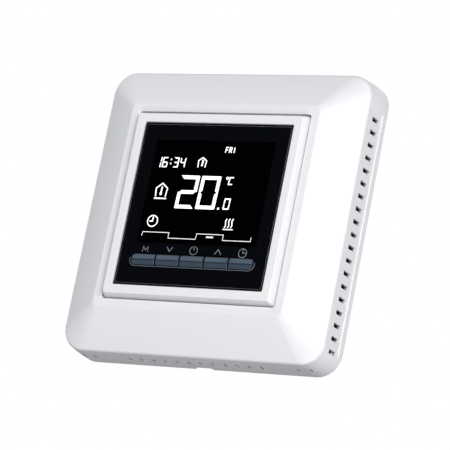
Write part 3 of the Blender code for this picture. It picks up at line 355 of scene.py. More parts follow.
def surround_profile():
    """(half, depth, corner radius) round the cross-section, from the back of the collar."""
    wall_angle = math.atan((HALF - EDGE_HALF) / (-FRONT - EDGE_DEPTH))
    lead = 0.35 * MM                  # tangent length of the round between ring and slope
    ring_round = lead / math.tan(SLOPE_ANGLE / 2)
    edge_lead = 0.75 * MM
    turn = math.pi / 2 - wall_angle - SLOPE_ANGLE
    edge_round = edge_lead / math.tan(turn / 2)
    rim_round = 0.2 * MM
    points = [(OPENING, COLLAR_DEPTH, COLLAR_RADIUS)]
    for k in range(5):
        angle = math.pi / 2 * k / 4
        points.append((OPENING + rim_round * (1 - math.cos(angle)), RING_DEPTH + rim_round * (1 - math.sin(angle)),
                       COLLAR_RADIUS))
    for k in range(5):
        angle = SLOPE_ANGLE * k / 4
        points.append((RING_HALF - lead + ring_round * math.sin(angle),
                       RING_DEPTH + ring_round * (1 - math.cos(angle)), RING_RADIUS))
    start = points[-1][0]
    end = EDGE_HALF - edge_lead * math.cos(SLOPE_ANGLE)
    for k in range(1, 12):
        t = k / 12
        half = start + (end - start) * t
        points.append((half, RING_DEPTH + (half - RING_HALF) * SLOPE - CROWN * 4 * t * (1 - t),
                       RING_RADIUS + (CORNER_RADIUS - RING_RADIUS) * t))
    centre = (end - edge_round * math.sin(SLOPE_ANGLE),
              RING_DEPTH + (end - RING_HALF) * SLOPE + edge_round * math.cos(SLOPE_ANGLE))
    for k in range(9):
        angle = SLOPE_ANGLE + turn * k / 8
        points.append((centre[0] + edge_round * math.sin(angle), centre[1] - edge_round * math.cos(angle),
                       CORNER_RADIUS))
    foot = 0.08 * MM
    back = -FRONT
    top_half, top_depth, _ = points[-1]
    for k in range(1, 8):
        t = k / 8
        points.append((top_half + (HALF - top_half) * t + WALL_CROWN * 4 * t * (1 - t),
                       top_depth + (back - foot - top_depth) * t, CORNER_RADIUS))
    points += [(HALF, back - foot, CORNER_RADIUS), (HALF - foot, back, CORNER_RADIUS),
               (HALF - WALL, back, CORNER_RADIUS - WALL),
               (EDGE_HALF - WALL, EDGE_DEPTH + SKIN_DEPTH, CORNER_RADIUS - WALL),
               (RING_HALF, RING_DEPTH + SKIN_DEPTH, RING_RADIUS),
               (OPENING + COLLAR_WALL, RING_DEPTH + SKIN_DEPTH, COLLAR_BACK_RADIUS),
               (OPENING + COLLAR_WALL, COLLAR_DEPTH, COLLAR_BACK_RADIUS)]
    return points


PANEL_TOP = 33.3 * MM
PANEL_BOTTOM = -41.0 * MM
LEDGE_DEPTH = 16.4 * MM
VENT_WALL = 1.15 * MM                 # from the outline to the hollow behind the vents, cored out from inside
LEDGE_STEP = 0.2 * MM                 # how far the ledge stands out of the panel in front of it
VENT_COUNT = 19
VENT_TOP = 30.4 * MM
VENT_PITCH = 3.73 * MM
VENT_LENGTH = 4.0 * MM
VENT_HEIGHT = 1.25 * MM
SLOT_PITCH = 3.87 * MM
SLOT_STATIONS = (0, 1, 2, 3, 4, 5, 8, 9)
SLOT_WIDTH = 0.8 * MM
SLOT_LENGTH = 2.9 * MM
TONGUE_STATION = 7                    # the clip tongues stand where the row of slots is solid
TONGUE_Z = 39.0 * MM


def paint_shade_inside(surround):
    """Give the faces inside the hollow of the surround the dark painted shade."""
    surround.data.materials.append(inside_painted_shade)
    for face in surround.data.polygons:
        x, y, z = face.center
        half = max(abs(x), abs(z))
        hollow = OPENING + 0.4 * MM < half < HALF - VENT_WALL + 0.02 * MM and y > FRONT + RING_DEPTH + 0.6 * MM
        outward = face.normal.x * x + face.normal.z * z > 0.3 * half and half > RING_HALF
        if hollow and y < -0.2 * MM and face.normal.y > -0.2 and not outward:
            face.material_index = 1


def make_surround():
    """Surround with clip tongues, side panels, vents, slots, the release notch and thinned walls."""
    sections = [(square(half, radius, ARC), FRONT + depth) for half, depth, radius in surround_profile()]
    surround = loose("surround_shell", Shape().loft(sections, closed=True), white)
    tongues, gussets, hooks = Shape(), Shape(), Shape()
    for side in (-1, 1):
        for level in (-1, 1):
            x, z = side * TONGUE_STATION * SLOT_PITCH, level * TONGUE_Z
            tongues.box(x - 2.5 * MM, x + 2.5 * MM, FRONT + 7.85 * MM, -0.3 * MM, z - 0.6 * MM, z + 0.6 * MM)
            inner, outer = sorted((level * 39.4 * MM, level * 41.1 * MM))
            for rib in (-1.9 * MM, 1.9 * MM):
                gussets.box(x + rib - 0.4 * MM, x + rib + 0.4 * MM, FRONT + 8.6 * MM, -4.6 * MM, inner, outer)
            hook = [(-2.6, 38.6), (-1.4, 37.9), (-0.9, 37.9), (-0.5, 38.6)]
            hooks.sideways([(y * MM, level * height * MM) for y, height in hook], x - 2.3 * MM, x + 2.3 * MM)
    for shape in (tongues, gussets, hooks):
        join(surround, shape)
    panels = Shape()
    reach = HALF + 2 * MM
    ledge = FRONT + LEDGE_DEPTH
    wall_at_ledge = HALF + (HALF - EDGE_HALF) * ledge / (-FRONT - EDGE_DEPTH)
    for side in (-1, 1):
        layers = []
        for inner, y in ((EDGE_HALF, FRONT + EDGE_DEPTH), (wall_at_ledge - LEDGE_STEP, ledge)):
            x0, x1 = sorted((side * inner, side * reach))
            layers.append((outline(x0, x1, PANEL_BOTTOM, PANEL_TOP, 0.5 * MM, 3), y))
        panels.loft(layers)
    cut(surround, panels)
    vents = Shape()
    middle = FRONT + 13.2 * MM
    for side in (-1, 1):
        x0, x1 = sorted((side * (HALF - 4 * MM), side * reach))
        for k in range(VENT_COUNT):
            z = VENT_TOP - k * VENT_PITCH
            vents.sideways(outline(middle - VENT_LENGTH / 2, middle + VENT_LENGTH / 2, z - VENT_HEIGHT / 2,
                                   z + VENT_HEIGHT / 2, 0.15 * MM, 3), x0, x1)
    slot_middle = FRONT + 13.4 * MM
    for level in (-1, 1):
        z0, z1 = sorted((level * (HALF - 4 * MM), level * reach))
        for station in SLOT_STATIONS:
            for side in (-1, 1):
                x = side * (station + 0.5) * SLOT_PITCH
                vents.box(x - SLOT_WIDTH / 2, x + SLOT_WIDTH / 2, slot_middle - SLOT_LENGTH / 2,
                          slot_middle + SLOT_LENGTH / 2, z0, z1)
    cut(surround, vents)
    left, right = -2.6 * MM, 1.6 * MM      # the release notch
    top = -HALF + 0.75 * MM
    cut(surround, Shape().prism([(left, -reach), (right + 3.0 * MM, -reach), (right + 1.5 * MM, -HALF),
                                 (right, top), (left, top)], -1.6 * MM, 1.6 * MM))
    thinned = Shape()
    for side in (-1, 1):
        a0, a1 = sorted((side * (HALF - 4 * MM), side * (HALF - VENT_WALL)))
        thinned.box(a0, a1, middle - 2.4 * MM, middle + 2.4 * MM, PANEL_BOTTOM + 2.4 * MM, PANEL_TOP - 1.6 * MM)
        for x0, x1 in ((-24.0, 24.0), (-37.6, -30.6), (30.6, 37.6)):
            thinned.box(x0 * MM, x1 * MM, slot_middle - 2.0 * MM, slot_middle + 2.0 * MM, a0, a1)
    cut(surround, thinned)
    soften(surround, 0.09 * MM, 50)
    # the faces inside the hollow get the painted shade
    paint_shade_inside(surround)
    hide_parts("front_frame")
    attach(surround, "surround")


make_surround()


# ---------------------------------------------------------------- bezel and lens
def make_bezel():
    """Frame round the window, with the module's skirt behind it."""
    front, foot, opening = 26.75 * MM, BEZEL_FOOT, 24.25 * MM
    inner = foot - 1.4 * MM
    lip_round, front_round = 0.15 * MM, 0.32 * MM
    skirt, shelf, pane, recess = 15.0 * MM, 2.5 * MM, 0.9 * MM, 25.5 * MM
    points = []
    for k in range(4):
        angle = math.pi / 2 * k / 3
        points.append((opening + lip_round * (1 - math.cos(angle)), lip_round * (1 - math.sin(angle)), 0.5 * MM))
    for k in range(7):
        angle = math.radians(72) * k / 6
        points.append((front - 0.2 * MM + front_round * math.sin(angle), front_round * (1 - math.cos(angle)),
                       0.9 * MM))
    points += [(foot, 2.9 * MM, 0.9 * MM), (foot, skirt, 0.9 * MM), (inner, skirt, 0.5 * MM),
               (inner, shelf, 0.5 * MM), (recess, shelf, 0.5 * MM), (recess, pane, 0.5 * MM),
               (opening, pane, 0.5 * MM)]
    sections = [(square(half, radius, 8), FRONT + depth) for half, depth, radius in points]
    bezel = loose("bezel_frame", Shape().loft(sections, closed=True), bezel_white)
    slots = Shape()
    for level in (-1, 1):
        z0, z1 = sorted((level * (inner - MM), level * (foot + MM)))
        for k in range(7):
            x = (k - 3) * 3.0 * MM
            slots.box(x - 0.6 * MM, x + 0.6 * MM, FRONT + 10.5 * MM, FRONT + 13.5 * MM, z0, z1)
    cut(bezel, slots)
    soften(bezel, 0.0, 40)
    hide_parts("display_bezel")
    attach(bezel, "display")


make_bezel()

KEY_Z = -16.6 * MM
ROW = 39.8 * MM                       # length of the row of keys
KEY_HEIGHT = 3.25 * MM
KEY_CREST = 0.35 * MM                 # how far the ridge stands out of the lens
KEY_PITCH = 7.87 * MM
KEY_FLANGE = 4.35 * MM
LENS_FRONT = FRONT + 0.45 * MM
LENS_BACK = LENS_FRONT + 1.75 * MM


def dark_gloss(name, darker, lighter, level, roughness=0.07):
    """Polished dark plastic with faint clouds, and a polish that varies a little."""
    n = Nodes(name)
    n.to("Base Color", n.mix(n.span(n.noise(400, 3), 0.3, 0.7), darker, lighter))
    n.to("Roughness", n.span(n.noise(150, 2), 0.3, 0.7, roughness - 0.02, roughness + 0.02))
    n.set(Specular_IOR_Level=level)
    return n.mat


lens_black = dark_gloss("lens_black", (0.0010, 0.0015, 0.0028), (0.0014, 0.0020, 0.0035), 0.10)
# grey of the lens edge: partly the clear edge's own tone, partly a painted highlight
lens_rim_painted_highlight = dark_gloss("lens_rim_painted_highlight", (0.26, 0.27, 0.28), (0.29, 0.30, 0.31), 0.5, 0.25)
# painted highlight: pale grey-blue for the slot's bevel catching the light
slot_painted_highlight = dark_gloss("slot_painted_highlight", (0.19, 0.23, 0.26), (0.23, 0.27, 0.30), 0.6, 0.2)
lcd_black = dark_gloss("lcd_black", (0.0001, 0.0001, 0.0002), (0.0002, 0.0002, 0.0003), 0.02)


def make_lens():
    """Black window with a slot for the keys, and the pale line on its chamfered edge: its grey is partly the clear
    edge's own tone and partly a painted highlight where the edge catches the light.
    """
    front_half = 23.95 * MM
    flange_half = 25.2 * MM
    flange_front = LENS_BACK - 1.0 * MM
    sections = [(front_half - 0.2 * MM, LENS_FRONT), (front_half - 0.06 * MM, LENS_FRONT + 0.06 * MM),
                (front_half, LENS_FRONT + 0.2 * MM), (front_half, flange_front), (flange_half, flange_front),
                (flange_half, LENS_BACK)]
    lens = loose("window_lens", Shape().loft([(square(half, 0.5 * MM), y) for half, y in sections]), lens_black)
    slot = stadium(0, KEY_Z, ROW + 0.6 * MM, KEY_HEIGHT + 0.6 * MM, 12)
    cut(lens, Shape().prism(slot, FRONT - MM, LENS_BACK + MM))
    soften(lens, 0.05 * MM, 50)
    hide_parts("display_lens")
    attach(lens, "display")

    # strip on the lens chamfer, its grey partly the clear edge's tone and partly a painted highlight
    rim = [(front_half + 0.02 * MM, 0.26), (front_half - 0.38 * MM, -0.008), (front_half - 0.42 * MM, 0.004),
           (front_half - 0.02 * MM, 0.30)]
    sections = [(square(half, 0.5 * MM), LENS_FRONT + depth * MM) for half, depth in rim]
    edge = loose("lens_edge", Shape().loft(sections, closed=True), lens_rim_painted_highlight)
    soften(edge, 0.0)
    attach(edge, "display")


make_lens()


# ---------------------------------------------------------------- keys
def key_material():
    """Smoked plastic with painted light and shade: the upper facet painted lighter and the lower darker, a painted
    dark reflection along the ridge, and painted shade towards its edges and at the gaps between keys.
    """
    n = Nodes("key_smoked")
    height = n.math("SUBTRACT", n.axis("Z"), KEY_Z)
    cloud = n.span(n.noise(220, 3), 0.3, 0.7)
    # painted light and shade: the upper facet a lighter blue, the lower a darker one
    lit_upper_facet = n.mix(cloud, (0.072, 0.102, 0.135), (0.084, 0.117, 0.152))
    shaded_lower_facet = n.mix(cloud, (0.036, 0.055, 0.078), (0.043, 0.064, 0.089))
    facet_light_and_shade = n.mix(n.span(height, -0.12 * MM, 0.30 * MM), shaded_lower_facet, lit_upper_facet)
    # painted reflection: a dark line along the ridge
    from_ridge = n.math("ABSOLUTE", n.math("ADD", height, 0.05 * MM))
    ridge = n.span(from_ridge, 0.08 * MM, 0.30 * MM)
    # painted shade towards the top and bottom edges of the cap
    edge = n.span(n.math("ABSOLUTE", height), 1.62 * MM, 1.25 * MM, 0.25, 1.0)
    # painted shade at the ends of each cap, at the gaps between keys
    from_middle = n.math("PINGPONG", n.axis("X"), KEY_PITCH / 2)
    side = n.span(from_middle, KEY_PITCH / 2 - 0.25 * MM, KEY_PITCH / 2 - 0.42 * MM, 0.1, 1.0)
    light = n.math("MULTIPLY", n.math("MULTIPLY", n.span(ridge, 0.0, 1.0, 0.35, 1.0), edge), side)
    n.to("Base Color", n.mix(light, (0.006, 0.011, 0.020), facet_light_and_shade))
    n.to("Roughness", n.span(n.noise(900, 2), 0.3, 0.7, 0.10, 0.16))
    n.set(Specular_IOR_Level=0.5)
    return n.mat


key_smoked = key_material()
CAP_RELIEF = 0.10 * MM                # the caps stop this short of their flanges, at the gaps between keys
KEY_NAMES = ("menu", "down", "power", "up", "timer")


def key_cap(x0, x1, first, last):
    """Cap like a hipped roof: a ridge along its middle, and a cone at the round end of the row."""
    half = KEY_HEIGHT / 2
    shape = Shape()
    bm = shape.bm
    crest = LENS_FRONT - KEY_CREST
    ring, fans, ridge = [], [], []
    for side, x, rounded in ((1, x1, last), (-1, x0, first)):
        if rounded:
            centre = x - side * half
            tip = bm.verts.new((centre, crest, KEY_Z))
            arc = []
            for k in range(17):
                angle = math.radians(side * (-90 + 180 * k / 16))
                arc.append(bm.verts.new((centre + side * half * math.cos(angle), LENS_FRONT,
                                         KEY_Z + half * math.sin(angle))))
            fans.append((tip, arc))
            ring += arc
        else:
            tip = bm.verts.new((x, crest, KEY_Z))
            ends = [bm.verts.new((x, LENS_FRONT, KEY_Z - side * half)), tip,
                    bm.verts.new((x, LENS_FRONT, KEY_Z + side * half))]
            ring += ends
        ridge.append(tip)
    for tip, arc in fans:
        for a, b in zip(arc, arc[1:]):
            bm.faces.new((tip, a, b))
    right, left = ridge
    lower_right, upper_right = ring[0], ring[16 if last else 2]
    start = 17 if last else 3
    upper_left, lower_left = ring[start], ring[-1]
    bm.faces.new((right, upper_right, upper_left, left))
    bm.faces.new((left, lower_left, lower_right, right))
    back = LENS_BACK + 0.65 * MM
    rear = [bm.verts.new((vert.co.x, back, vert.co.z)) for vert in ring]
    for k in range(len(ring)):
        n = (k + 1) % len(ring)
        bm.faces.new((ring[k], ring[n], rear[n], rear[k]))
    bm.faces.new(rear)
    return shape


def make_keys():
    """Caps in the slot of the lens, each with a flange and a stem behind it."""
    for k, name in enumerate(KEY_NAMES):
        x = (k - 2) * KEY_PITCH
        x0 = -ROW / 2 if k == 0 else x - KEY_PITCH / 2 + GAP / 2
        x1 = ROW / 2 if k == 4 else x + KEY_PITCH / 2 - GAP / 2
        shape = key_cap(x0 if k == 0 else x0 + CAP_RELIEF, x1 if k == 4 else x1 - CAP_RELIEF, k == 0, k == 4)
        key = loose(f"key_cap_{name}", shape, key_smoked)
        soften(key, 0.10 * MM, 10, 3)
        flange = loose(f"key_rear_{name}", Shape().box(x0, x1, LENS_BACK + 0.3 * MM, LENS_BACK + MM,
                                                       KEY_Z - KEY_FLANGE / 2, KEY_Z + KEY_FLANGE / 2), key_smoked)
        stem = Shape().turned(x, KEY_Z, [(1.1 * MM, LENS_BACK + 0.8 * MM), (1.1 * MM, FRONT + 5.2 * MM)], 24)
        join(flange, stem)
        soften(flange, 0.05 * MM, 50)
        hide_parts(f"key_{name}")
        for piece in (key, flange):
            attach(piece, f"key_{name}")


make_keys()


# ---------------------------------------------------------------- LCD graphics
GRAPHICS_X = 0.29 * MM                # the LCD's graphics sit a little right of and below the lens's middle
GRAPHICS_Z = -0.16 * MM
INLAY_FRONT = LENS_FRONT - 0.012 * MM
INLAY_BACK = LENS_FRONT + 0.02 * MM


class Inlay(Shape):
    """Flat figures, in millimetres from the middle of the graphics, laid on the lens or another face."""

    def __init__(self, front=INLAY_FRONT, back=INLAY_BACK):
        super().__init__()
        self.front, self.back = front, back

    def at(self, x, z):
        return GRAPHICS_X + x * MM, GRAPHICS_Z + z * MM

    def patch(self, points):
        return self.prism([self.at(x, z) for x, z in points], self.front, self.back)

    def line(self, points, width, closed=False):
        """Ribbon along a line, with mitred corners."""
        count = len(points)
        sides = ([], [])
        for k, (x, z) in enumerate(points):
            before = points[k - 1] if k or closed else None
            after = points[(k + 1) % count] if k < count - 1 or closed else None
            headings = []
            for a, b in ((before, (x, z)), ((x, z), after)):
                if a is not None and b is not None:
                    length = math.dist(a, b)
                    headings.append(((b[0] - a[0]) / length, (b[1] - a[1]) / length))
            dx = sum(h[0] for h in headings) / len(headings)
            dz = sum(h[1] for h in headings) / len(headings)
            reach = width / 2 / max(dx * dx + dz * dz, 0.2)
            for side, sign in zip(sides, (1, -1)):
                side.append(self.at(x - dz * sign * reach, z + dx * sign * reach))
        layers = []
        for y in (self.front, self.back):
            layers.append([[self.bm.verts.new((x, y, z)) for x, z in side] for side in sides])
        (left, right), (left_back, right_back) = layers
        for k in range(count if closed else count - 1):
            n = (k + 1) % count
            self.bm.faces.new((left[k], left[n], right[n], right[k]))
            self.bm.faces.new((left_back[k], right_back[k], right_back[n], left_back[n]))
            self.bm.faces.new((left[k], left_back[k], left_back[n], left[n]))
            self.bm.faces.new((right[k], right[n], right_back[n], right_back[k]))
        if not closed:
            for k in (0, count - 1):
                self.bm.faces.new((left[k], right[k], right_back[k], left_back[k]))
        return self

    def ring(self, x, z, radius, width, start=0, end=360, sides=40):
        points = []
        closed = end - start >= 360
        count = sides if closed else sides + 1
        for k in range(count):
            angle = math.radians(start + (end - start) * k / sides)
            points.append((x + radius * math.cos(angle), z + radius * math.sin(angle)))
        return self.line(points, width, closed)

    def digit(self, left, right, low, high, thick, lit, slant=0.0, gap=0.12):
        """Seven-segment figure; lit names its segments a to g."""
        middle = (low + high) / 2
        t, g = thick, gap / 2
        h = t / 2
        bars = {
            "a": [(left + g, high), (right - g, high), (right - t - g, high - t), (left + t + g, high - t)],
            "d": [(left + g, low), (left + t + g, low + t), (right - t - g, low + t), (right - g, low)],
            "b": [(right, high - g), (right, middle + g), (right - h, middle + g), (right - t, middle + h + g),
                  (right - t, high - t - g)],
            "c": [(right, middle - g), (right, low + g), (right - t, low + t + g), (right - t, middle - h - g),
                  (right - h, middle - g)],
            "f": [(left, high - g), (left + t, high - t - g), (left + t, middle + h + g), (left + h, middle + g),
                  (left, middle + g)],
            "e": [(left, middle - g), (left + h, middle - g), (left + t, middle - h - g), (left + t, low + t + g),
                  (left, low + g)],
            "g": [(left + h + g, middle), (left + t + g, middle + h), (right - t - g, middle + h),
                  (right - h - g, middle), (right - t - g, middle - h), (left + t + g, middle - h)],
        }
        for key in lit:
            self.patch([(x + (z - low) * slant, z) for x, z in bars[key]])
        return self


SEGMENTS = {0: "abcdef", 1: "bc", 2: "abged", 3: "abgcd", 4: "fgbc", 5: "afgcd", 6: "afgedc"}
SLANT = 0.05


def glow_material(name, colour, strength):
    n = Nodes(name)
    cells = n.noise(1500, 2)
    n.to("Base Color", n.mix(cells, tuple(c * 0.9 for c in colour), colour))
    n.to("Emission Color", n.mix(n.span(cells, 0.3, 0.7), tuple(c * 0.93 for c in colour), colour))
    n.set(Emission_Strength=strength, Roughness=0.15)
    return n.mat


lcd_white = glow_material("lcd_lit", (0.92, 0.95, 0.97), 0.85)
lcd_grey = glow_material("lcd_dimmed", (0.80, 0.84, 0.87), 0.62)
# printed legends with a faint painted glow of their own
legend_print_painted_glow = glow_material("legend_print", (0.24, 0.28, 0.32), 0.12)


def graphics(name, inlay, mat):
    piece = loose(name, inlay, mat)
    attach(piece, "display")


def house(inlay, x, apex, eaves, foot, half, width):
    """Outline of a house, open at its foot."""
    inlay.line([(x - half * 0.86, foot), (x - half, eaves), (x, apex), (x + half, eaves), (x + half * 0.86, foot)],
               width)


def make_graphics():
    """Figures and symbols of the LCD, and the legends over the keys."""
    cell = Inlay()
    cell.prism([cell.at(x, z) for x, z in outline(-19.4, 19.2, -11.5, 19.2, 0.4, 3)],
               LENS_FRONT - 0.004 * MM, INLAY_BACK)
    graphics("lcd_window", cell, lcd_black)
    # painted highlight: a flat pale ribbon round the lower side and ends of the key slot, standing in for its bevel
    # catching the light
    rim = Inlay()
    left, right = -ROW / 2 - 0.26 * MM, ROW / 2 + 0.26 * MM
    reach = KEY_HEIGHT / 2 + 0.26 * MM
    path = []
    for centre, start in ((left + reach, 165), (right - reach, 270)):
        for k in range(13):
            angle = math.radians(start + 105 * k / 12)
            path.append((centre + reach * math.cos(angle), KEY_Z + reach * math.sin(angle)))
    rim.line([((x - GRAPHICS_X) / MM, (z - GRAPHICS_Z) / MM) for x, z in path], 0.10)
    graphics("slot_painted_highlight", rim, slot_painted_highlight)

    temperature = Inlay()
    temperature.digit(-9.4, -3.3, -1.04, 8.7, 1.05, SEGMENTS[2], 0.035)
    temperature.digit(-2.6, 3.6, -1.04, 8.7, 1.05, SEGMENTS[0], 0.035)
    temperature.digit(6.2, 8.2, -0.95, 2.36, 0.38, SEGMENTS[0], SLANT, 0.1)
    temperature.patch([(4.55, -1.0), (5.15, -1.0), (5.15, -0.45), (4.55, -0.45)])
    temperature.ring(5.93, 8.22, 0.3, 0.24, sides=16)
    temperature.line([(8.0, 8.45), (6.75, 8.45), (6.55, 6.45), (7.75, 6.45)], 0.34)
    graphics("lcd_temperature", temperature, lcd_white)

    clock = Inlay()
    clock.line([(-16.85, 10.95), (-16.72, 12.3)], 0.32)
    clock.line([(-16.70, 12.6), (-16.58, 13.9)], 0.32)
    for left, right, figure in ((-16.25, -14.55, 6), (-12.6, -10.95, 3), (-10.45, -8.75, 4)):
        clock.digit(left, right, 10.95, 13.95, 0.34, SEGMENTS[figure], SLANT, 0.06)
    for z in (12.1, 13.3):
        clock.patch([(-13.65, z - 0.2), (-13.25, z - 0.2), (-13.25, z + 0.2), (-13.65, z + 0.2)])
    graphics("lcd_clock_time", clock, lcd_white)

    icons = Inlay()
    house(icons, -14.65, 6.16, 4.7, 2.2, 1.85, 0.34)
    icons.line([(-16.6, 1.68), (-12.6, 1.68)], 0.38)
    icons.line([(-14.6, 5.2), (-14.68, 3.5)], 0.42)
    icons.patch(outline(-15.05, -14.35, 2.64, 3.6, 0.3, 4))
    icons.ring(-15.55, -5.05, 1.62, 0.3)
    icons.line([(-15.5, -3.6), (-15.55, -5.1), (-16.5, -5.15)], 0.34)
    house(icons, -3.2, 14.1, 13.2, 11.2, 1.3, 0.3)
    icons.line([(-3.05, 13.5), (-3.15, 11.6)], 0.5)
    for x in (8.17, 9.2, 10.2):
        icons.line([(x - 0.22, -6.2), (x + 0.12, -5.6), (x - 0.02, -4.9), (x - 0.12, -4.3), (x + 0.22, -3.55)], 0.3)
    icons.line([(7.58, -6.67), (10.78, -6.67)], 0.3)
    graphics("lcd_symbols", icons, lcd_white)

    weekday = Inlay()
    weekday.line([(3.6, 15.75), (3.72, 17.3), (4.5, 17.3)], 0.28)
    weekday.line([(3.68, 16.55), (4.35, 16.55)], 0.26)
    weekday.line([(4.8, 15.75), (4.9, 17.3), (5.55, 17.22), (5.5, 16.6), (4.95, 16.5)], 0.26)
    weekday.line([(5.1, 16.45), (5.6, 15.75)], 0.26)
    weekday.line([(6.35, 15.75), (6.45, 17.3)], 0.3)
    graphics("lcd_weekday", weekday, lcd_white)

    programme = Inlay()
    programme.line([(-18.17, -9.5), (-18.0, -8.3), (-9.4, -8.3), (-9.4, -9.9), (-0.5, -9.9), (-0.4, -8.3),
                    (8.2, -8.3), (8.2, -9.9), (17.05, -9.9), (17.15, -8.7)], 0.17)
    programme.patch([(2.81, -9.35), (5.08, -9.35), (5.08, -8.95), (2.81, -8.95)])
    graphics("lcd_programme", programme, lcd_grey)

    legends = Inlay()
    legends.line([(-16.85, -14.15), (-16.7, -12.55), (-15.95, -13.7), (-15.25, -12.55), (-15.1, -14.15)], 0.17)
    legends.line([(-9.0, -12.5), (-8.1, -13.8), (-7.2, -12.5)], 0.17)
    legends.ring(-0.3, -13.2, 1.2, 0.16, 115, 425)
    legends.line([(-0.27, -13.1), (-0.27, -11.95)], 0.17)
    legends.line([(6.56, -14.0), (7.56, -12.57), (8.57, -14.0)], 0.17)
    legends.ring(15.4, -13.3, 1.27, 0.16)
    legends.line([(15.42, -12.15), (15.42, -13.3), (16.4, -13.3)], 0.17)
    graphics("key_legends", legends, legend_print_painted_glow)


make_graphics()


# ---------------------------------------------------------------- materials of the carried pieces
def board_material():
    n = Nodes("circuit_board")
    tracks = n.voronoi(900, "DISTANCE_TO_EDGE")
    masked = n.mix(n.math("LESS_THAN", tracks, 0.09), (0.012, 0.085, 0.035), (0.020, 0.125, 0.050))
    n.to("Base Color", masked)
    n.to("Roughness", n.span(n.noise(900), 0.3, 0.7, 0.28, 0.42))
    n.bump(tracks, 0.2, 0.03 * MM)
    return n.mat


def zinc_material():
    """Galvanised sheet: spangles of slightly different tone and gloss, with fine rolling streaks."""
    n = Nodes("zinc_steel")
    spangle = n.voronoi(260, "F1", "Color")
    streaks = n.noise(1200, 3, 0.6, n.stretched(0.15, 1.0, 1.0))
    tone = n.math("ADD", n.math("MULTIPLY", spangle, 0.7), n.math("MULTIPLY", streaks, 0.3))
    n.to("Base Color", n.mix(tone, (0.50, 0.52, 0.55), (0.74, 0.76, 0.78)))
    n.to("Roughness", n.span(tone, 0.2, 0.8, 0.30, 0.52))
    n.set(Metallic=1.0)
    n.bump(streaks, 0.15, 0.01 * MM)
    return n.mat


def glass_fibre(name, colour, roughness):
    """Glass-filled nylon: matt, with short pale fibres just under the skin."""
    n = Nodes(name)
    fibres = n.voronoi(1500, "DISTANCE_TO_EDGE", coords=n.stretched(0.35, 1.0, 1.0))
    flow = n.span(n.noise(45, 4, 0.6), 0.3, 0.7)
    darker = tuple(c * 0.90 for c in colour)
    paler = tuple(min(c * 1.12 + 0.01, 1.0) for c in colour)
    body = n.mix(flow, darker, colour)
    n.to("Base Color", n.mix(n.span(fibres, 0.02, 0.10, 0.35, 0.0), body, paler))
    n.to("Roughness", n.span(flow, 0.0, 1.0, roughness - 0.06, roughness + 0.06))
    n.bump(n.noise(2200, 3, 0.6), 0.3, 0.012 * MM)
    return n.mat


def give(mat, *names):
    for name in names:
        for slot in nodes[name].material_slots:
            slot.material = mat


cover_grey = glass_fibre("cover_grey", (0.60, 0.62, 0.64), 0.50)
housing_grey = glass_fibre("housing_grey", (0.48, 0.50, 0.52), 0.52)
zinc_steel = zinc_material()
connector_nylon = glass_fibre("connector_nylon", (0.028, 0.028, 0.030), 0.50)
terminal_green = glass_fibre("terminal_green", (0.060, 0.300, 0.160), 0.45)
contact_gold = metal("contact_gold", (0.83, 0.62, 0.26), 0.24).mat
give(moulded("lcd_glass", (0.010, 0.012, 0.016), 0.12).mat, "lcd_panel")
give(moulded("lcd_holder", (0.035, 0.035, 0.038), 0.55).mat, "lcd_holder")
give(moulded("contact_rubber", (0.32, 0.10, 0.12), 0.70, grain=900).mat, "contact_strip")
give(moulded("light_guide", (0.88, 0.90, 0.92), 0.30).mat, "light_guide")
give(board_material(), "display_board", "power_board")
give(moulded("chip_resin", (0.022, 0.022, 0.024), 0.50).mat, "microcontroller")
give(metal("metal_can", (0.72, 0.72, 0.74), 0.28).mat, "backup_capacitor", "clock_crystal", "smoothing_capacitor")
give(moulded("sensor_bead", (0.020, 0.022, 0.025), 0.35).mat, "air_sensor")
give(moulded("switch_case", (0.045, 0.045, 0.048), 0.45).mat, *[f"switch_{k}" for k in KEY_NAMES])
give(moulded("switch_plunger", (0.62, 0.60, 0.55), 0.50).mat, *[f"plunger_{k}" for k in KEY_NAMES])
give(metal("screw_steel", (0.66, 0.65, 0.62), 0.28, (1.0, 0.25, 1.0)).mat, *[n for n in nodes if "screw" in n])
give(moulded("relay_case", (0.020, 0.060, 0.180), 0.40).mat, "relay")
give(moulded("converter_resin", (0.025, 0.025, 0.028), 0.45).mat, "power_converter")
give(moulded("film_case", (0.550, 0.420, 0.090), 0.40).mat, "film_capacitor")
give(moulded("varistor_epoxy", (0.050, 0.160, 0.420), 0.35).mat, "varistor")
give(moulded("fuse_glass", (0.70, 0.74, 0.76), 0.10).mat, "fuse")


# ---------------------------------------------------------------- rear of the display module, and the base
def finished(piece, body, node=None):
    if node is not None:
        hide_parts(node)
    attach(piece, body)


def copied(name, node, mat):
    """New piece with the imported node's shape, to be detailed and rounded."""
    mesh = nodes[node].data.copy()
    mesh.materials.clear()
    mesh.materials.append(mat)
    piece = bpy.data.objects.new(name, mesh)
    piece.matrix_world = nodes[node].matrix_world
    bpy.context.scene.collection.objects.link(piece)
    return piece


def make_housing():
    """In-wall box with rounded edges, a shallow panel and cooling grooves on its back."""
    housing = copied("housing_shell", "power_housing", housing_grey)
    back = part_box("power_housing")[1].y
    cut(housing, Shape().prism(square(18.5 * MM, 4.0 * MM, 8), back - 0.35 * MM, back + MM))
    grooves = Shape()
    for k in range(7):
        x = (k - 3) * 4.4 * MM
        grooves.prism(stadium(x, 5.5 * MM, 1.6 * MM, 17.0 * MM), back - 1.0 * MM, back + MM)
    cut(housing, grooves)
    soften(housing, 0.22 * MM, 35, 3)
    finished(housing, "base", "power_housing")

    label = loose("rating_panel", Shape().prism(outline(-14.0 * MM, 14.0 * MM, -15.0 * MM, -6.0 * MM, 1.0 * MM),
                                                back - 0.36 * MM, back - 0.26 * MM), label_foil)
    soften(label, 0.0)
    finished(label, "base")


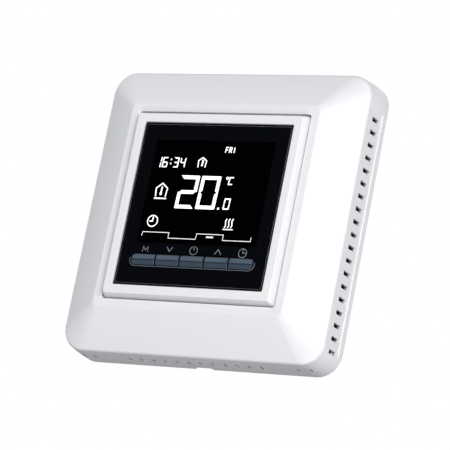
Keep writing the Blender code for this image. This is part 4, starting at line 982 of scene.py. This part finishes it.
def make_plate():
    """Galvanised plate with pressed beads that stiffen it."""
    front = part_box("mounting_plate")[0].y
    plate = copied("wall_plate", "mounting_plate", zinc_steel)
    soften(plate, 0.10 * MM, 40)
    finished(plate, "base", "mounting_plate")
    beads = Shape()
    rows = [(side * 16.5, level * 31.8, 15.0, 2.4) for side in (-1, 1) for level in (-1, 1)]
    rows += [(side * 35.2, -17.0, 2.4, 18.0) for side in (-1, 1)]
    for x, z, length_x, length_z in rows:
        sections = []
        for inset, rise in ((0.0, -0.10), (0.0, 0.02), (0.25, 0.20), (0.6, 0.30), (0.95, 0.33)):
            shape = stadium(x * MM, z * MM, (length_x - 2 * inset) * MM, (length_z - 2 * inset) * MM, 6)
            sections.append((shape, front - rise * MM))
        beads.loft(sections)
    ribs = loose("plate_beads", beads, zinc_steel)
    soften(ribs, 0.0, 50)
    finished(ribs, "base")


def make_lid():
    """Lid over the power unit, with a raised border and the terminals' numbers."""
    low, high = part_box("power_cover")
    lid = copied("lid_shell", "power_cover", cover_grey)
    soften(lid, 0.12 * MM, 40)
    finished(lid, "base", "power_cover")

    border = [(square(half, radius, 8), low.y + depth * MM)
              for half, radius, depth in ((high.x - 0.3 * MM, 5.8 * MM, 0.05), (high.x - 0.3 * MM, 5.8 * MM, -0.10),
                                          (high.x - 1.1 * MM, 5.0 * MM, -0.10), (high.x - 1.1 * MM, 5.0 * MM, 0.05))]
    edge = loose("lid_border", Shape().loft(border, closed=True), cover_grey)
    soften(edge, 0.03 * MM)
    finished(edge, "base")

    numbers = Inlay(low.y - 0.08 * MM, low.y + 0.05 * MM)
    for number in range(1, 7):
        screw_low, screw_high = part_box(f"terminal_screw_{number}")
        x = ((screw_low.x + screw_high.x) / 2 - GRAPHICS_X) / MM
        z = (screw_low.z - GRAPHICS_Z) / MM - 2.6
        numbers.digit(x - 0.5, x + 0.5, z, z + 1.7, 0.26, SEGMENTS[number], 0.0, 0.02)
    figures = loose("terminal_numbers", numbers, housing_grey)
    finished(figures, "base")

    block = copied("terminal_shell", "terminal_block", terminal_green)
    soften(block, 0.10 * MM, 40)
    finished(block, "base", "terminal_block")


def make_connector():
    """Plug with gilt pins on the module, and its socket on the base."""
    socket = copied("socket_shell", "pin_socket", connector_nylon)
    soften(socket, 0.06 * MM, 40)
    finished(socket, "base", "pin_socket")
    give(connector_nylon, "pin_header")
    low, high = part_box("pin_header")
    middle = (low.z + high.z) / 2
    pins = Shape()
    pitch, half, tip = 2.54 * MM, 0.33 * MM, 0.20 * MM
    for k in range(6):
        x = (k - 2.5) * pitch
        sections = [(square(size, 0.04 * MM, 2), y) for size, y in
                    ((half, low.y + 2.6 * MM), (half, high.y - 0.4 * MM), (tip, high.y + 0.02 * MM))]
        pins.loft([([(x + px, middle + pz) for px, pz in points], y) for points, y in sections])
    gilt = loose("header_pins", pins, contact_gold)
    soften(gilt, 0.0, 30)
    finished(gilt, "display")


def make_module_rear():
    """Rear cover of the display module, with a raised border and cross ribs."""
    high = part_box("module_cover")[1]
    cover = copied("cover_shell", "module_cover", cover_grey)
    soften(cover, 0.12 * MM, 40)
    finished(cover, "display", "module_cover")
    rear = high.y
    ribs = Shape()
    border = [(square(half, 0.6 * MM), rear + depth * MM)
              for half, depth in ((high.x - 0.4 * MM, -0.1), (high.x - 0.4 * MM, 0.12), (high.x - 1.2 * MM, 0.12),
                                  (high.x - 1.2 * MM, -0.1))]
    ribs.loft(border, closed=True)
    for x in (-16.0 * MM, 16.0 * MM):
        ribs.box(x - 0.4 * MM, x + 0.4 * MM, rear - 0.1 * MM, rear + 0.12 * MM, -22.0 * MM, 22.0 * MM)
    for z in (-2.0 * MM, 12.0 * MM):
        ribs.box(-14.5 * MM, 14.5 * MM, rear - 0.1 * MM, rear + 0.12 * MM, z - 0.4 * MM, z + 0.4 * MM)
    web = loose("cover_ribs", ribs, cover_grey)
    soften(web, 0.04 * MM, 40)
    finished(web, "display")


label_foil = moulded("label_foil", (0.70, 0.71, 0.73), 0.35, shift=0.05, grain=600).mat
make_housing()
make_plate()
make_lid()
make_connector()
make_module_rear()


# ---------------------------------------------------------------- camera, floor and light
def make_camera():
    data = bpy.data.cameras.new("camera")
    data.sensor_width = 36.0
    data.lens = 238.63
    camera = bpy.data.objects.new("camera", data)
    place = Vector((0.42398, -0.69879, -0.21712))
    aim = Vector((0.0034027, -0.010, -0.0030144))
    roll = math.radians(11.2515)
    camera.location = place
    camera.rotation_mode = "QUATERNION"
    camera.rotation_quaternion = (aim - place).to_track_quat("-Z", "Y") @ Quaternion((0, 0, 1), roll)
    bpy.context.scene.collection.objects.link(camera)
    bpy.context.scene.camera = camera


def make_floor():
    """Pale floor below the camera's place; it glows, and doesn't light the object."""
    n = Nodes("floor_paint")
    n.to("Base Color", n.mix(n.noise(3, 3), (0.86, 0.86, 0.86), (0.90, 0.90, 0.90)))
    n.set(Roughness=0.9, Emission_Color=(1.0, 1.0, 1.0, 1.0), Emission_Strength=0.5)
    shape = Shape()
    size, level = 6.0, -1.2
    corners = [shape.bm.verts.new((x * size, y * size, level)) for x, y in ((-1, -1), (1, -1), (1, 1), (-1, 1))]
    shape.bm.faces.new(corners)
    floor = loose("floor", shape, n.mat)
    floor.visible_diffuse = floor.visible_glossy = False


LIGHT_SIZE = 0.8
LIGHT_DISTANCE = 1.3


def soft_box(name, azimuth, elevation, power, colour=(1, 1, 1)):
    """Square light aimed at the object; azimuth runs from the front round to the right."""
    turn, rise = math.radians(azimuth), math.radians(elevation)
    direction = Vector((math.sin(turn) * math.cos(rise), -math.cos(turn) * math.cos(rise), math.sin(rise)))
    data = bpy.data.lights.new(name, "AREA")
    data.shape = "SQUARE"
    data.size = LIGHT_SIZE
    data.energy = power
    data.color = colour
    light = bpy.data.objects.new(name, data)
    light.location = direction * LIGHT_DISTANCE
    light.rotation_mode = "QUATERNION"
    light.rotation_quaternion = (-direction).to_track_quat("-Z", "Y")
    bpy.context.scene.collection.objects.link(light)


def make_light():
    """Six soft boxes and a dim surrounding, which the camera sees as white."""
    world = bpy.data.worlds.new("studio")
    world.use_nodes = True
    tree = world.node_tree
    background = tree.nodes["Background"]
    path = tree.nodes.new("ShaderNodeLightPath")
    shade = tree.nodes.new("ShaderNodeMix")
    shade.data_type = "RGBA"
    shade.inputs["A"].default_value = (0.150, 0.153, 0.158, 1)
    shade.inputs["B"].default_value = (1, 1, 1, 1)
    tree.links.new(path.outputs["Is Camera Ray"], shade.inputs["Factor"])
    tree.links.new(shade.outputs["Result"], background.inputs["Color"])
    bpy.context.scene.world = world
    soft_box("key", 45, 5, 17.2)
    soft_box("left_high", -75, 40, 3.6, (0.94, 0.97, 1.0))
    soft_box("left_low", -80, 0, 2.2, (0.94, 0.97, 1.0))
    soft_box("front_low", 13, -57, 7.9)
    soft_box("rear_right", 150, 0, 1.2)
    soft_box("rear", 185, 25, 3.0)
    bpy.context.scene.view_settings.view_transform = "Standard"


make_camera()
make_floor()
make_light()
